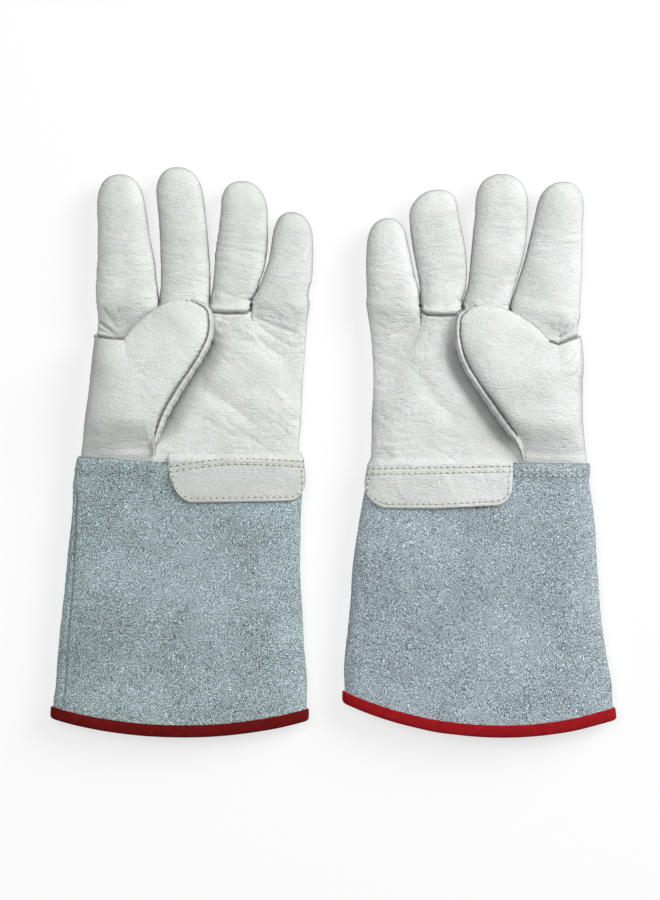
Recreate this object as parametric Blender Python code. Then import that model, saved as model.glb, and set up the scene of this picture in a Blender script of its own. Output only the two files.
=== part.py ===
"""A pair of welder's gauntlets, lying palm up with the thumbs folded over the palms.

Each glove is sewn from separate pieces: a palm, a back, a thumb-side panel, a front and a back for
every finger, a two-piece thumb with a welt, linings, a suede cuff, a wrist patch and a hem binding.
Metres, +Z up and +Y toward the fingertips. The backs rest on z = 0 and the left-hand glove is at -X.
The tables below are in millimetres. In them p runs across a glove from its centre line toward its
thumb side, and y runs along it.
"""
import math
from dataclasses import dataclass

import bmesh
import bpy
from mathutils import Vector

MM = 0.001

# Plies, in millimetres
LEATHER = 1.4
SUEDE = 1.5
LINING = 1.6
PATCH = 1.4
PATCH_LIFT = 0.9       # the wrist patch lies this far above the cuff
WELT_WIDTH = 3.5
BINDING_PROUD = 0.8
BINDING_DEPTH = 4.2
THREAD_RADIUS = 0.45
GAP = 0.3              # clearance between neighbouring pieces
SEAM = GAP / 2         # half of the slit between a front and a back

# Heights above the resting plane, in millimetres
HAND_HEIGHT = 20.0
FINGER_HEIGHT = 19.0
THENAR_EDGE = 20.6     # thumb-side panel where it meets the index finger and the cuff
THUMB_FLOOR = 20.8     # underside of the folded thumb
THUMB_SEAM = 24.0      # seam that runs round the folded thumb
THUMB_TOP = 34.0       # top of the folded thumb, and height of its hinge line

# Shape of the cross-sections
ROUNDNESS = 0.75       # 1 is an ellipse, less is fuller
UNDERSIDE_FLAT = 1.12  # how far the lower half is pressed into the resting plane
FINGER_COLUMNS = 6
HAND_COLUMNS = 8
THENAR_COLUMNS = 4
THUMB_COLUMNS = 5
FINGER_ROWS = (0.0, 0.38, 0.72, 1.0)
CAP_ANGLES = (38.0, 66.0, 90.0)
THREAD_SIDES = 5
THREAD_STEPS = 11

LEATHER_COLOUR = (0.72, 0.74, 0.71)
SUEDE_COLOUR = (0.31, 0.37, 0.39)
LINING_COLOUR = (0.60, 0.58, 0.52)
BINDING_COLOUR = (0.20, 0.008, 0.010)
THREAD_COLOUR = (0.62, 0.58, 0.42)


@dataclass
class Finger:
    name: str
    length: float
    half_widths: tuple     # at the knuckle, at two places along the finger, and where the tip starts
    tip: float             # length of the rounded tip


@dataclass
class Glove:
    name: str
    side: int              # -1 where the thumb side faces -X, +1 where it faces +X
    centre: float          # world X of the centre line
    wrist: float           # y of the seam between hand and cuff
    hand_edges: tuple      # (y, thumb-side p, little-finger-side p)
    cuff_edges: tuple      # (share of the cuff's length, thumb-side p, little-finger-side p)
    hem: tuple             # (thumb-side y, little-finger-side y, how far the middle hangs lower)
    knuckles: tuple        # ends of the four hinge lines, from the thumb side
    fingers: tuple
    thumb_hinge: tuple     # ((p, y) at the wrist, (p, y) at the index finger)
    thumb_edge: tuple      # (share of the hinge line, p, y) of the thumb's free edge
    patch: tuple           # (thumb-side p, top y, bottom y)


LEFT = Glove(
    name="left", side=-1, centre=-87.05, wrist=-4.0,
    hand_edges=((-3.6, 67.6, -66.8), (19.0, 65.5, -67.9), (38.0, 63.0, -68.5), (56.0, 61.2, -70.4),
                (68.4, 59.6, -71.4), (69.4, 59.5, -71.6), (81.0, 59.4, -72.6), (91.0, 59.6, -73.6)),
    cuff_edges=((0.0, 70.0, -68.3), (0.15, 72.0, -68.6), (0.4, 75.6, -67.9), (0.7, 80.6, -69.6),
                (1.0, 85.4, -71.5)),
    hem=(-157.5, -158.8, 10.35),
    knuckles=((60.0, 91.9), (19.6, 93.9), (-11.6, 95.5), (-41.3, 93.0), (-74.0, 90.1)),
    fingers=(Finger("index", 77.6, (19.7, 17.7, 16.2, 15.4), 17.0),
             Finger("middle", 80.4, (15.1, 15.4, 15.2, 14.8), 15.0),
             Finger("ring", 72.4, (14.4, 14.7, 15.5, 15.0), 15.0),
             Finger("little", 55.8, (15.8, 14.0, 13.2, 12.6), 14.0)),
    thumb_hinge=((22.6, -2.4), (41.3, 69.2)),
    thumb_edge=((0.04, 18.6, 0.0), (0.2, 15.3, 14.0), (0.4, 5.8, 34.5), (0.58, -4.9, 52.3),
                (0.72, -11.3, 64.6), (0.84, -13.5, 78.0), (0.93, -5.0, 90.5), (1.0, 14.0, 91.6)),
    patch=(12.2, -4.6, -29.5))

RIGHT = Glove(
    name="right", side=1, centre=89.85, wrist=-6.5,
    hand_edges=((-6.1, 66.2, -66.6), (19.0, 64.3, -66.1), (38.0, 63.7, -65.5), (56.0, 64.1, -66.1),
                (67.4, 62.8, -66.9), (68.4, 62.6, -67.2), (77.0, 61.4, -68.2), (83.0, 61.9, -69.2)),
    cuff_edges=((0.0, 67.4, -66.9), (0.15, 68.6, -70.4), (0.4, 72.2, -76.4), (0.7, 77.0, -81.0),
                (1.0, 82.6, -83.4)),
    hem=(-158.0, -148.0, 15.3),
    knuckles=((63.0, 83.4), (19.0, 89.7), (-11.3, 93.0), (-41.3, 92.0), (-70.4, 90.6)),
    fingers=(Finger("index", 80.0, (21.6, 19.6, 16.8, 15.6), 16.0),
             Finger("middle", 80.1, (14.7, 15.0, 16.2, 15.4), 16.0),
             Finger("ring", 68.6, (14.5, 14.6, 16.0, 15.0), 15.0),
             Finger("little", 52.0, (14.0, 13.6, 12.6, 12.0), 13.0)),
    thumb_hinge=((27.5, -4.9), (42.8, 68.0)),
    thumb_edge=((0.04, 22.0, -1.3), (0.2, 12.5, 13.0), (0.4, 0.0, 34.0), (0.58, -9.0, 50.0),
                (0.72, -14.0, 64.5), (0.84, -14.0, 78.0), (0.93, -5.5, 88.2), (1.0, 12.0, 88.4)),
    patch=(19.0, -7.0, -33.0))


def clear_scene():
    for item in list(bpy.data.objects):
        bpy.data.objects.remove(item, do_unlink=True)


def material(name, colour, roughness):
    result = bpy.data.materials.new(name)
    result.use_nodes = True
    shader = result.node_tree.nodes["Principled BSDF"]
    shader.inputs["Base Color"].default_value = (*colour, 1.0)
    shader.inputs["Roughness"].default_value = roughness
    shader.inputs["Metallic"].default_value = 0.0
    return result


def pivot_empty(name, place, parent=None):
    """An empty at a world place, which the pieces of one moving body hang from."""
    empty = bpy.data.objects.new(name, None)
    bpy.context.collection.objects.link(empty)
    empty.empty_display_size = 10.0 * MM
    empty.location = place
    if parent:
        empty.parent = parent
        empty.location = place - world_place(parent)
    return empty


def world_place(item):
    place = Vector((0.0, 0.0, 0.0))
    while item:
        place += item.location
        item = item.parent
    return place


def world(glove, point):
    """World place in metres of a glove point (p, y, z) in millimetres."""
    across, along, height = point
    return Vector((glove.centre + glove.side * across, along, height)) * MM


def sheet(glove, name, outer, inner, body, colour, roughness, loop=False):
    """One ply as a closed solid between two grids of points. Rows that meet in a point are a tip."""
    mesh = bmesh.new()
    shift = world_place(body)
    grids = [[[mesh.verts.new(world(glove, point) - shift) for point in row] for row in grid]
             for grid in (outer, inner)]
    columns = len(outer[0])
    last = columns if loop else columns - 1
    for grid in grids:
        for upper, lower in zip(grid, grid[1:]):
            for index in range(last):
                after = (index + 1) % columns
                mesh.faces.new((upper[index], upper[after], lower[after], lower[index]))
    for row in (0, -1):
        for index in range(last):
            after = (index + 1) % columns
            rim = (grids[0][row][index], grids[0][row][after], grids[1][row][after], grids[1][row][index])
            mesh.faces.new(rim)
    if not loop:
        for column in (0, -1):
            for row in range(len(outer) - 1):
                rim = (grids[0][row][column], grids[0][row + 1][column],
                       grids[1][row + 1][column], grids[1][row][column])
                mesh.faces.new(rim)
    return finish(mesh, f"{glove.name}_{name}", body, colour, roughness)


def finish(mesh, name, body, colour, roughness):
    """Close the tips, turn the faces outward and put the piece under its body's empty."""
    bmesh.ops.remove_doubles(mesh, verts=mesh.verts, dist=1e-6)
    bmesh.ops.recalc_face_normals(mesh, faces=mesh.faces)
    data = bpy.data.meshes.new(name)
    mesh.to_mesh(data)
    mesh.free()
    data.shade_smooth()
    data.set_sharp_from_angle(angle=math.radians(40.0))
    data.materials.append(material(name, colour, roughness))
    piece = bpy.data.objects.new(name, data)
    bpy.context.collection.objects.link(piece)
    piece.parent = body
    return piece


def power(value, exponent):
    return math.copysign(abs(value) ** exponent, value)


def spaced(start, end, count):
    return [start + (end - start) * index / count for index in range(count + 1)]


def table_value(rows, place):
    """Straight-line reading of the columns after the first at a place in the first column."""
    for low, high in zip(rows, rows[1:]):
        if place <= high[0] or high is rows[-1]:
            share = (place - low[0]) / (high[0] - low[0])
            return [a + (b - a) * share for a, b in zip(low[1:], high[1:])]
    return list(rows[-1][1:])


def cross_section(thumb_side, little_side, height, angle, inset):
    """Place (p, z) on a flattened tube. Angles 0 to pi run over its top from the thumb side, and pi
    to 2 pi run back underneath, where the tube is pressed flat."""
    half_width = (thumb_side - little_side) / 2 - inset
    half_height = height / 2 - inset
    across = (thumb_side + little_side) / 2 + half_width * power(math.cos(angle), ROUNDNESS)
    rise = power(math.sin(angle), ROUNDNESS)
    if rise < 0.0:
        rise = max(rise * UNDERSIDE_FLAT, -1.0)
    return across, height / 2 + half_height * rise


def open_slit(point, upward):
    """Squeeze a point of a hand or cuff into its own half, so that a front and a back don't touch."""
    across, along, height = point
    middle = HAND_HEIGHT / 2
    squeezed = middle + (height - middle) * (1.0 - SEAM / middle)
    return across, along, squeezed + (SEAM if upward else -SEAM)


def knuckle_line(glove, across):
    """y of the polyline through the finger hinges."""
    rows = tuple((-p, y) for p, y in glove.knuckles)
    return table_value(rows, -across)[0]


def hinge_share(glove, along):
    low, high = glove.thumb_hinge
    return min(max((along - low[1]) / (high[1] - low[1]), 0.0), 1.0)


def hinge_point(glove, share):
    low, high = glove.thumb_hinge
    return tuple(a + (b - a) * share for a, b in zip(low, high))


def below_thumb_crotch(glove, along):
    return along < glove.thumb_hinge[1][1]


def palm_start_angle(glove, row):
    """Section angle where the palm begins: the thumb's hinge line, or the edge above the thumb."""
    along, thumb_side, little_side = row
    if not below_thumb_crotch(glove, along):
        return 0.0
    hinge_across = hinge_point(glove, hinge_share(glove, along))[0]
    share = (hinge_across - (thumb_side + little_side) / 2) / ((thumb_side - little_side) / 2)
    return math.acos(power(share, 1.0 / ROUNDNESS))


def hand_point(glove, row, angle, inset, end_gap=GAP):
    """Point on the hand's tube. The last row follows the hinge lines of the fingers."""
    along, thumb_side, little_side = row
    across, height = cross_section(thumb_side, little_side, HAND_HEIGHT, angle, inset)
    if row is glove.hand_edges[-1]:
        along = knuckle_line(glove, across) - end_gap
    return across, along, height


def palm_panel(glove, body):
    def grid(inset):
        rows = []
        for row in glove.hand_edges:
            angles = spaced(palm_start_angle(glove, row), math.pi, HAND_COLUMNS)
            rows.append([open_slit(hand_point(glove, row, angle, inset), True) for angle in angles])
        return rows
    sheet(glove, "palm_panel", grid(0.0), grid(LEATHER), body, LEATHER_COLOUR, 0.62)


def back_panel(glove, body):
    def grid(inset):
        angles = spaced(math.pi, 2 * math.pi, HAND_COLUMNS)
        return [[open_slit(hand_point(glove, row, angle, inset), False) for angle in angles]
                for row in glove.hand_edges]
    sheet(glove, "back_panel", grid(0.0), grid(LEATHER), body, LEATHER_COLOUR, 0.62)


def thenar_top(share):
    """Height of the thumb-side panel along the hinge line, highest halfway."""
    return THENAR_EDGE + (THUMB_TOP - THENAR_EDGE) * math.sin(math.pi * share) ** 0.6


def thenar_panel(glove, body):
    def grid(inset):
        rows = []
        for row in glove.hand_edges:
            along, thumb_side, _ = row
            if not below_thumb_crotch(glove, along):
                continue
            share = hinge_share(glove, along)
            hinge_across = hinge_point(glove, share)[0] + GAP
            top = thenar_top(share) - GAP
            reach = thumb_side - inset - hinge_across
            rise = top - inset - HAND_HEIGHT / 2 - SEAM
            rows.append([(hinge_across + reach * power(math.cos(turn), ROUNDNESS), along,
                          HAND_HEIGHT / 2 + SEAM + rise * power(math.sin(turn), ROUNDNESS))
                         for turn in spaced(0.0, math.pi / 2, THENAR_COLUMNS)])
        return rows
    sheet(glove, "thenar_panel", grid(0.0), grid(LEATHER), body, LEATHER_COLOUR, 0.62)


def hand_lining(glove, body):
    """Fleece against the palm and the back. It is open along the thumb's hinge line."""
    def grid(inset):
        rows = []
        for row in glove.hand_edges:
            start = palm_start_angle(glove, row)
            over = spaced(start, math.pi, HAND_COLUMNS)
            under = spaced(math.pi, 2 * math.pi, HAND_COLUMNS)[1:]
            points = [hand_point(glove, row, angle, inset, 2 * GAP) for angle in over + under]
            points[0] = open_slit(points[0], True)
            points[-1] = open_slit(points[-1], False)
            rows.append(points)
        return rows
    first = LEATHER + GAP
    sheet(glove, "hand_lining", grid(first), grid(first + LINING), body, LINING_COLOUR, 0.95)


def cuff_point(glove, share, angle, inset, extra=0.0):
    """Point on the cuff's tube, share 0 at the wrist and 1 at the hem. extra runs past the hem."""
    thumb_side, little_side = table_value(glove.cuff_edges, share)
    across, height = cross_section(thumb_side, little_side, HAND_HEIGHT, angle, inset)
    thumb_y, little_y, droop = glove.hem
    side_share = (thumb_side - across) / (thumb_side - little_side)
    off_centre = 2 * side_share - 1
    hem_y = thumb_y + (little_y - thumb_y) * side_share - droop * (1 - off_centre ** 2)
    return across, glove.wrist + (hem_y - glove.wrist) * share - extra, height


def cuff_rows(glove, angles, inset, slit):
    shares = [row[0] for row in glove.cuff_edges]
    rows = []
    for share in shares:
        points = [cuff_point(glove, share, angle, inset, GAP if share == 0.0 else -GAP * share)
                  for angle in angles]
        rows.append(points if slit is None else [open_slit(point, slit) for point in points])
    return rows


def cuff(glove, body):
    over = spaced(0.0, math.pi, HAND_COLUMNS)
    under = spaced(math.pi, 2 * math.pi, HAND_COLUMNS)
    sheet(glove, "cuff_front", cuff_rows(glove, over, 0.0, True), cuff_rows(glove, over, SUEDE, True),
          body, SUEDE_COLOUR, 0.9)
    sheet(glove, "cuff_back", cuff_rows(glove, under, 0.0, False), cuff_rows(glove, under, SUEDE, False),
          body, SUEDE_COLOUR, 0.9)
    around = spaced(0.0, 2 * math.pi, 2 * HAND_COLUMNS)[:-1]
    first = SUEDE + GAP
    sheet(glove, "cuff_lining", cuff_rows(glove, around, first, None),
          cuff_rows(glove, around, first + LINING, None), body, LINING_COLOUR, 0.95, loop=True)


def hem_binding(glove, body):
    """Tape folded over the cuff's hem, as a band round the mouth."""
    around = spaced(0.0, 2 * math.pi, 2 * HAND_COLUMNS)[:-1]

    def grid(inset):
        rows = []
        for extra in (0.0, 6.5):
            points = [cuff_point(glove, 1.0, angle, inset, extra) for angle in around]
            rows.append([(across, along, max(height, 0.0)) for across, along, height in points])
        return rows
    sheet(glove, "hem_binding", grid(-BINDING_PROUD), grid(BINDING_DEPTH - BINDING_PROUD), body,
          BINDING_COLOUR, 0.7, loop=True)


def patch_point(glove, along_share, angle, lift):
    """Point over the cuff front. along_share is 0 at the patch's top and 1 at its rounded bottom."""
    _, top, bottom = glove.patch
    start, end = patch_angles(glove)
    middle = (start + end) / 2
    off_centre = (angle - middle) / ((end - start) / 2)
    rounding = 1.0 - 0.28 * abs(off_centre) ** 6
    along = top + (bottom - top) * along_share * rounding
    cuff_share = (glove.wrist - along) / (glove.wrist - glove.hem[0])
    thumb_side, little_side = table_value(glove.cuff_edges, cuff_share)
    across, height = cross_section(thumb_side, little_side, HAND_HEIGHT, angle, -lift)
    return across, along, height


def patch_angles(glove):
    """Section angles of the patch's thumb-side end and of its end at the little finger's side."""
    thumb_side, little_side = table_value(glove.cuff_edges, 0.08)
    share = (glove.patch[0] - (thumb_side + little_side) / 2) / ((thumb_side - little_side) / 2)
    return math.acos(power(share, 1.0 / ROUNDNESS)), math.radians(172.0)


def wrist_patch(glove, body):
    start, end = patch_angles(glove)
    angles = spaced(start, end, HAND_COLUMNS)

    def grid(lift):
        return [[patch_point(glove, share, angle, lift) for angle in angles]
                for share in (0.0, 0.5, 1.0)]
    sheet(glove, "wrist_patch", grid(PATCH_LIFT + PATCH), grid(PATCH_LIFT), body, LEATHER_COLOUR, 0.62)


def thread(glove, name, points, body):
    """A row of sewing thread, as a thin round bar."""
    mesh = bmesh.new()
    shift = world_place(body)
    rings = []
    for index, point in enumerate(points):
        here = world(glove, point)
        before = world(glove, points[max(index - 1, 0)])
        after = world(glove, points[min(index + 1, len(points) - 1)])
        heading = (after - before).normalized()
        sideways = heading.cross(Vector((0.0, 0.0, 1.0))).normalized()
        upward = sideways.cross(heading)
        turns = [2 * math.pi * step / THREAD_SIDES for step in range(THREAD_SIDES)]
        rings.append([mesh.verts.new(here - shift + THREAD_RADIUS * MM
                                     * (sideways * math.cos(turn) + upward * math.sin(turn)))
                      for turn in turns])
    for ring, after in zip(rings, rings[1:]):
        for index in range(THREAD_SIDES):
            other = (index + 1) % THREAD_SIDES
            mesh.faces.new((ring[index], ring[other], after[other], after[index]))
    mesh.faces.new(rings[0])
    mesh.faces.new(rings[-1])
    finish(mesh, f"{glove.name}_{name}", body, THREAD_COLOUR, 0.8)


def patch_threads(glove, body):
    """Two rows of stitching along the top of the patch, and one round its lower edge."""
    start, end = patch_angles(glove)
    lift = PATCH_LIFT + PATCH + GAP + THREAD_RADIUS
    inner = spaced(start + 0.06, end - 0.12, THREAD_STEPS)
    for name, share in (("patch_thread_upper", 0.08), ("patch_thread_lower", 0.22)):
        thread(glove, name, [patch_point(glove, share, angle, lift) for angle in inner], body)
    thread(glove, "patch_thread_edge", [patch_point(glove, 0.9, angle, lift) for angle in inner], body)


def finger_frame(glove, index):
    """Hinge centre, direction across toward the little finger, and direction along the finger."""
    near, far = glove.knuckles[index], glove.knuckles[index + 1]
    centre = ((near[0] + far[0]) / 2, (near[1] + far[1]) / 2)
    across = Vector((far[0] - near[0], far[1] - near[1])).normalized()
    return centre, across, Vector((across.y, -across.x))


def finger_stations(finger, inset):
    """(distance along, half width, half height) from the knuckle to the tip."""
    straight = finger.length - finger.tip
    stations = [(straight * share, width - inset, FINGER_HEIGHT / 2 - inset)
                for share, width in zip(FINGER_ROWS, finger.half_widths)]
    stations[0] = (GAP, *stations[0][1:])
    cap_width = finger.half_widths[-1] - inset
    for angle in map(math.radians, CAP_ANGLES):
        shrink = math.cos(angle)
        stations.append((straight + (finger.tip - inset) * math.sin(angle), cap_width * shrink,
                         (FINGER_HEIGHT / 2 - inset) * shrink))
    return stations


def finger_grid(glove, index, angles, inset, slit):
    finger = glove.fingers[index]
    centre, across, onward = finger_frame(glove, index)
    squeeze = 1.0 - abs(slit) / (FINGER_HEIGHT / 2)
    grid = []
    for distance, half_width, half_height in finger_stations(finger, inset):
        row = []
        for angle in angles:
            rise = power(math.sin(angle), ROUNDNESS)
            if rise < 0.0:
                rise = max(rise * UNDERSIDE_FLAT, -1.0)
            side_step = -half_width * power(math.cos(angle), ROUNDNESS)
            place = Vector(centre) + across * side_step + onward * distance
            row.append((place.x, place.y, FINGER_HEIGHT / 2 + slit + half_height * squeeze * rise))
        grid.append(row)
    return grid


def finger_pieces(glove, index, body):
    """Front, back and lining of one finger. Its hinge is at the top of the knuckle line."""
    name = glove.fingers[index].name
    over = spaced(0.0, math.pi, FINGER_COLUMNS)
    under = spaced(math.pi, 2 * math.pi, FINGER_COLUMNS)
    around = spaced(0.0, 2 * math.pi, 2 * FINGER_COLUMNS)[:-1]
    for part, angles, slit in (("front", over, SEAM), ("back", under, -SEAM)):
        sheet(glove, f"{name}_{part}", finger_grid(glove, index, angles, 0.0, slit),
              finger_grid(glove, index, angles, LEATHER, slit), body, LEATHER_COLOUR, 0.62)
    first = LEATHER + 2 * GAP
    sheet(glove, f"{name}_lining", finger_grid(glove, index, around, first, 0.0),
          finger_grid(glove, index, around, first + LINING, 0.0), body, LINING_COLOUR, 0.95, loop=True)


def thumb_row(glove, row, edge_inset):
    """Root and free-edge places of one row across the folded thumb."""
    share, edge_p, edge_y = row
    root = Vector(hinge_point(glove, share))
    edge = Vector((edge_p, edge_y))
    heading = (edge - root).normalized()
    return root + heading * GAP, edge - heading * edge_inset, share


def thumb_swell(share, across):
    """0 at the thumb's free edge and ends, 1 at its full thickness."""
    along = math.sin(math.pi * min(share, 0.999)) ** 0.5
    return along * (1.0 - across ** 3) ** 0.6


def thumb_grid(glove, upward, depth, edge_inset, columns):
    """Layer of the folded thumb. depth is measured inward from the leather's outer face."""
    grid = []
    for row in glove.thumb_edge:
        root, edge, share = thumb_row(glove, row, edge_inset)
        points = []
        for across in spaced(0.0, 1.0, columns):
            place = root.lerp(edge, across)
            swell = thumb_swell(share, across)
            if upward:
                low = THUMB_SEAM + SEAM + LEATHER
                height = low + (THUMB_TOP - low) * swell - depth
            else:
                high = THUMB_SEAM - SEAM - LEATHER
                height = high - (high - THUMB_FLOOR) * swell + depth
            points.append((place.x, place.y, height))
        grid.append(points)
    return grid


def thumb_pieces(glove, body):
    """Outer and inner leather of the thumb, the welt in its seam, and its lining."""
    edge = WELT_WIDTH + GAP
    for name, upward in (("thumb_outer", True), ("thumb_inner", False)):
        sheet(glove, name, thumb_grid(glove, upward, 0.0, edge, THUMB_COLUMNS),
              thumb_grid(glove, upward, LEATHER, edge, THUMB_COLUMNS), body, LEATHER_COLOUR, 0.62)
    thumb_welt(glove, body)
    thumb_lining(glove, body)


def thumb_welt(glove, body):
    outer, inner = [], []
    for row in glove.thumb_edge:
        _, far, _ = thumb_row(glove, row, 0.0)
        _, near, _ = thumb_row(glove, row, WELT_WIDTH)
        outer.append([(place.x, place.y, THUMB_SEAM + LEATHER / 2) for place in (near, far)])
        inner.append([(place.x, place.y, THUMB_SEAM - LEATHER / 2) for place in (near, far)])
    sheet(glove, "thumb_welt", outer, inner, body, LEATHER_COLOUR, 0.62)


def thumb_lining(glove, body):
    """Fleece against the thumb's outer leather, short of the pocket's thin edges."""
    def grid(depth):
        leather = thumb_grid(glove, True, depth, WELT_WIDTH + GAP, THUMB_COLUMNS)
        return [row[:-1] for row in leather[1:-1]]
    first = LEATHER + GAP
    sheet(glove, "thumb_lining", grid(first), grid(first + LINING), body, LINING_COLOUR, 0.95)


def build_glove(glove):
    body = pivot_empty(f"{glove.name}_hand_body", world(glove, (0.0, glove.wrist, 0.0)))
    palm_panel(glove, body)
    thenar_panel(glove, body)
    back_panel(glove, body)
    hand_lining(glove, body)
    cuff(glove, body)
    hem_binding(glove, body)
    wrist_patch(glove, body)
    patch_threads(glove, body)
    for index, finger in enumerate(glove.fingers):
        centre, _, _ = finger_frame(glove, index)
        place = world(glove, (*centre, FINGER_HEIGHT))
        finger_pieces(glove, index, pivot_empty(f"{glove.name}_{finger.name}_body", place, body))
    hinge = hinge_point(glove, 0.5)
    thumb_body = pivot_empty(f"{glove.name}_thumb_body", world(glove, (*hinge, THUMB_TOP)), body)
    thumb_pieces(glove, thumb_body)


def build():
    clear_scene()
    for glove in (LEFT, RIGHT):
        build_glove(glove)


build()
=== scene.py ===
"""Welding gloves: the looks of the pair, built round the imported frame.

Places inside a glove are in millimetres: p runs across it from its centre line toward its thumb side,
y runs along it toward the fingertips and z is the height above the floor.
"""
import math
from dataclasses import dataclass

import bmesh
import bpy
import numpy as np
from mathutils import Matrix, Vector

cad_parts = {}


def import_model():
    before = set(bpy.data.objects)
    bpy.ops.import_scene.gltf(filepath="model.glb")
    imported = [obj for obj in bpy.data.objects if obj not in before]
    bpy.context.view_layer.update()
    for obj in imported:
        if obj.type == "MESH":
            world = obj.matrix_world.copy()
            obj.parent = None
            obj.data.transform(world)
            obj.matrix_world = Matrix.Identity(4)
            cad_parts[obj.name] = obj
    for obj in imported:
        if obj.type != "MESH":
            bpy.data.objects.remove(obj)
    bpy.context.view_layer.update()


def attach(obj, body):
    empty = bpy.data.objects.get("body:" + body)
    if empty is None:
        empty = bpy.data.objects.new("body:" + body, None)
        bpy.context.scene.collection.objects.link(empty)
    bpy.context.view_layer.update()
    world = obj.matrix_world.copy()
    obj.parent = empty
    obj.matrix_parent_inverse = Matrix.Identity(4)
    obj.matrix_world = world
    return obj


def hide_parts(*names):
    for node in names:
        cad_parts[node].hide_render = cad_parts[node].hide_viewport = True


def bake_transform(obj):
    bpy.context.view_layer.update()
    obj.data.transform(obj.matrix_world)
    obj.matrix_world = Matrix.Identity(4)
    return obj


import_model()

MM = 0.001

# Camera, in metres
CAMERA_HEIGHT = 2.6
VIEW_HEIGHT = 0.5508     # what the picture shows at FOCUS_HEIGHT, from top to bottom
FOCUS_HEIGHT = 0.02
SENSOR = 24.0            # height of the camera's sensor, in millimetres

# Thicknesses, in millimetres
LEATHER = 1.2
THIN_LEATHER = 0.9       # the thumb's face toward the palm
PATCH_LEATHER = 1.5
WELT_LEATHER = 1.3
SUEDE = 1.4
FLEECE = 1.0

# How far in from a glove's surface its linings lie, in millimetres
FINGER_LINING = 2.2
HAND_LINING = 3.2
CUFF_LINING = 3.2
THUMB_LINING = 1.8

# Heights, in millimetres
HAND_MID = 10.0
FINGER_MID = 9.5
THUMB_SEAM = 24.0
THUMB_HINGE = 28.0
WELT_FOOT = 21.4         # the welt's low end, at the wrist
PATCH_LIFT = 2.1         # how far the wrist patch lies over the cuff
CUFF_LIFT = 1.6          # how far the cuff's top edge lies over the hand

# Lengths, in millimetres
STITCH_PITCH = 3.8
STITCH_SINK = 0.32       # how deep a row of stitches is drawn in
THREAD_RADIUS = 0.38
ROW_GAP = 3.4            # between the two rows of stitches on the patch
PATCH_WIDTH = 84.0
FULL_SHADE_DEPTH = 1.1         # depth at which a crease gets its full painted shade
FINGER_BEND = 30.0       # how far along a finger its bend goes on
THUMB_BEND = 14.0

# Shape of the cross-sections: how square they are, where 1 is an ellipse
TUBE_FULLNESS = 0.72     # hand and cuff
FINGER_FULLNESS = 0.78

FIELD_SHIFT = 40.0       # sets the gloves' random fields apart, in millimetres for each seed
SHARP_ANGLE = 62.0       # degrees

# Mesh density
FINGER_COLUMNS = 44
FINGER_ROWS = 84
CAP_ROWS = 22
HAND_ROWS = 130
CUFF_COLUMNS = 150
CUFF_ROWS = 130
THUMB_ROWS = 120
THUMB_COLUMNS = 76
THENAR_COLUMNS = 52
BINDING_COLUMNS = 260
FINGER_LINING_ROWS = 26
CUFF_LINING_ROWS = 50


@dataclass
class Finger:
    name: str
    rows: tuple            # (y, centre p, half width) above the knuckle
    tip: tuple             # (y, p) of the tip
    cap: float             # length of the rounded end


@dataclass
class Patch:
    thumb_p: float         # its end toward the thumb
    top: float             # where it leaves the palm
    low: tuple             # y of its bottom edge: thumb end, middle, little-finger end
    rows: tuple            # y of the upper row of stitches at the same three places
    corners: tuple         # thumb end (reach, rise), little-finger end (reach, rise) of the round
    soil: float            # how much darker the tab is than the palm


@dataclass
class Glove:
    name: str
    side: int              # 1 where p runs along +X, -1 where it runs along -X
    centre: float          # X of the centre line
    seed: int
    wrist: float           # y of the wrist
    hand: tuple            # (y, thumb-side p, little-finger-side p)
    cuff: tuple            # (share of the length, thumb-side p, little-finger-side p)
    hem: tuple             # (thumb-side y, little-finger-side y, droop)
    knuckles: tuple        # (p, y) of the ends of the hinge lines, from the thumb side
    fingers: tuple
    fold: tuple            # thumb's fold line: ((p, y) at the wrist, (p, y) at the index finger)
    seam: tuple            # (share along the thumb, p, y) of the seam round its free edge
    seam_bulge: float      # how far the thumb's top edge swells past a straight line
    base_seam: tuple       # seam at the foot of the index finger
    welt: tuple            # (share along the thumb, width)
    creases: tuple         # (points, depth, width)
    folds: tuple           # raised rolls: (points, height, width)
    fans: tuple            # (p, y, reach, height, lines) of wrinkles that spread from a corner
    cuff_top: tuple        # y of the cuff's top edge: thumb side, and beside the patch
    cuff_stitches: tuple   # y of rows of stitches across the cuff beside the patch
    cuff_crease: float     # depth of the crease beside the cuff's side seam
    patch: Patch
    leather: tuple         # colours
    suede: tuple
    tape: tuple


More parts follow.
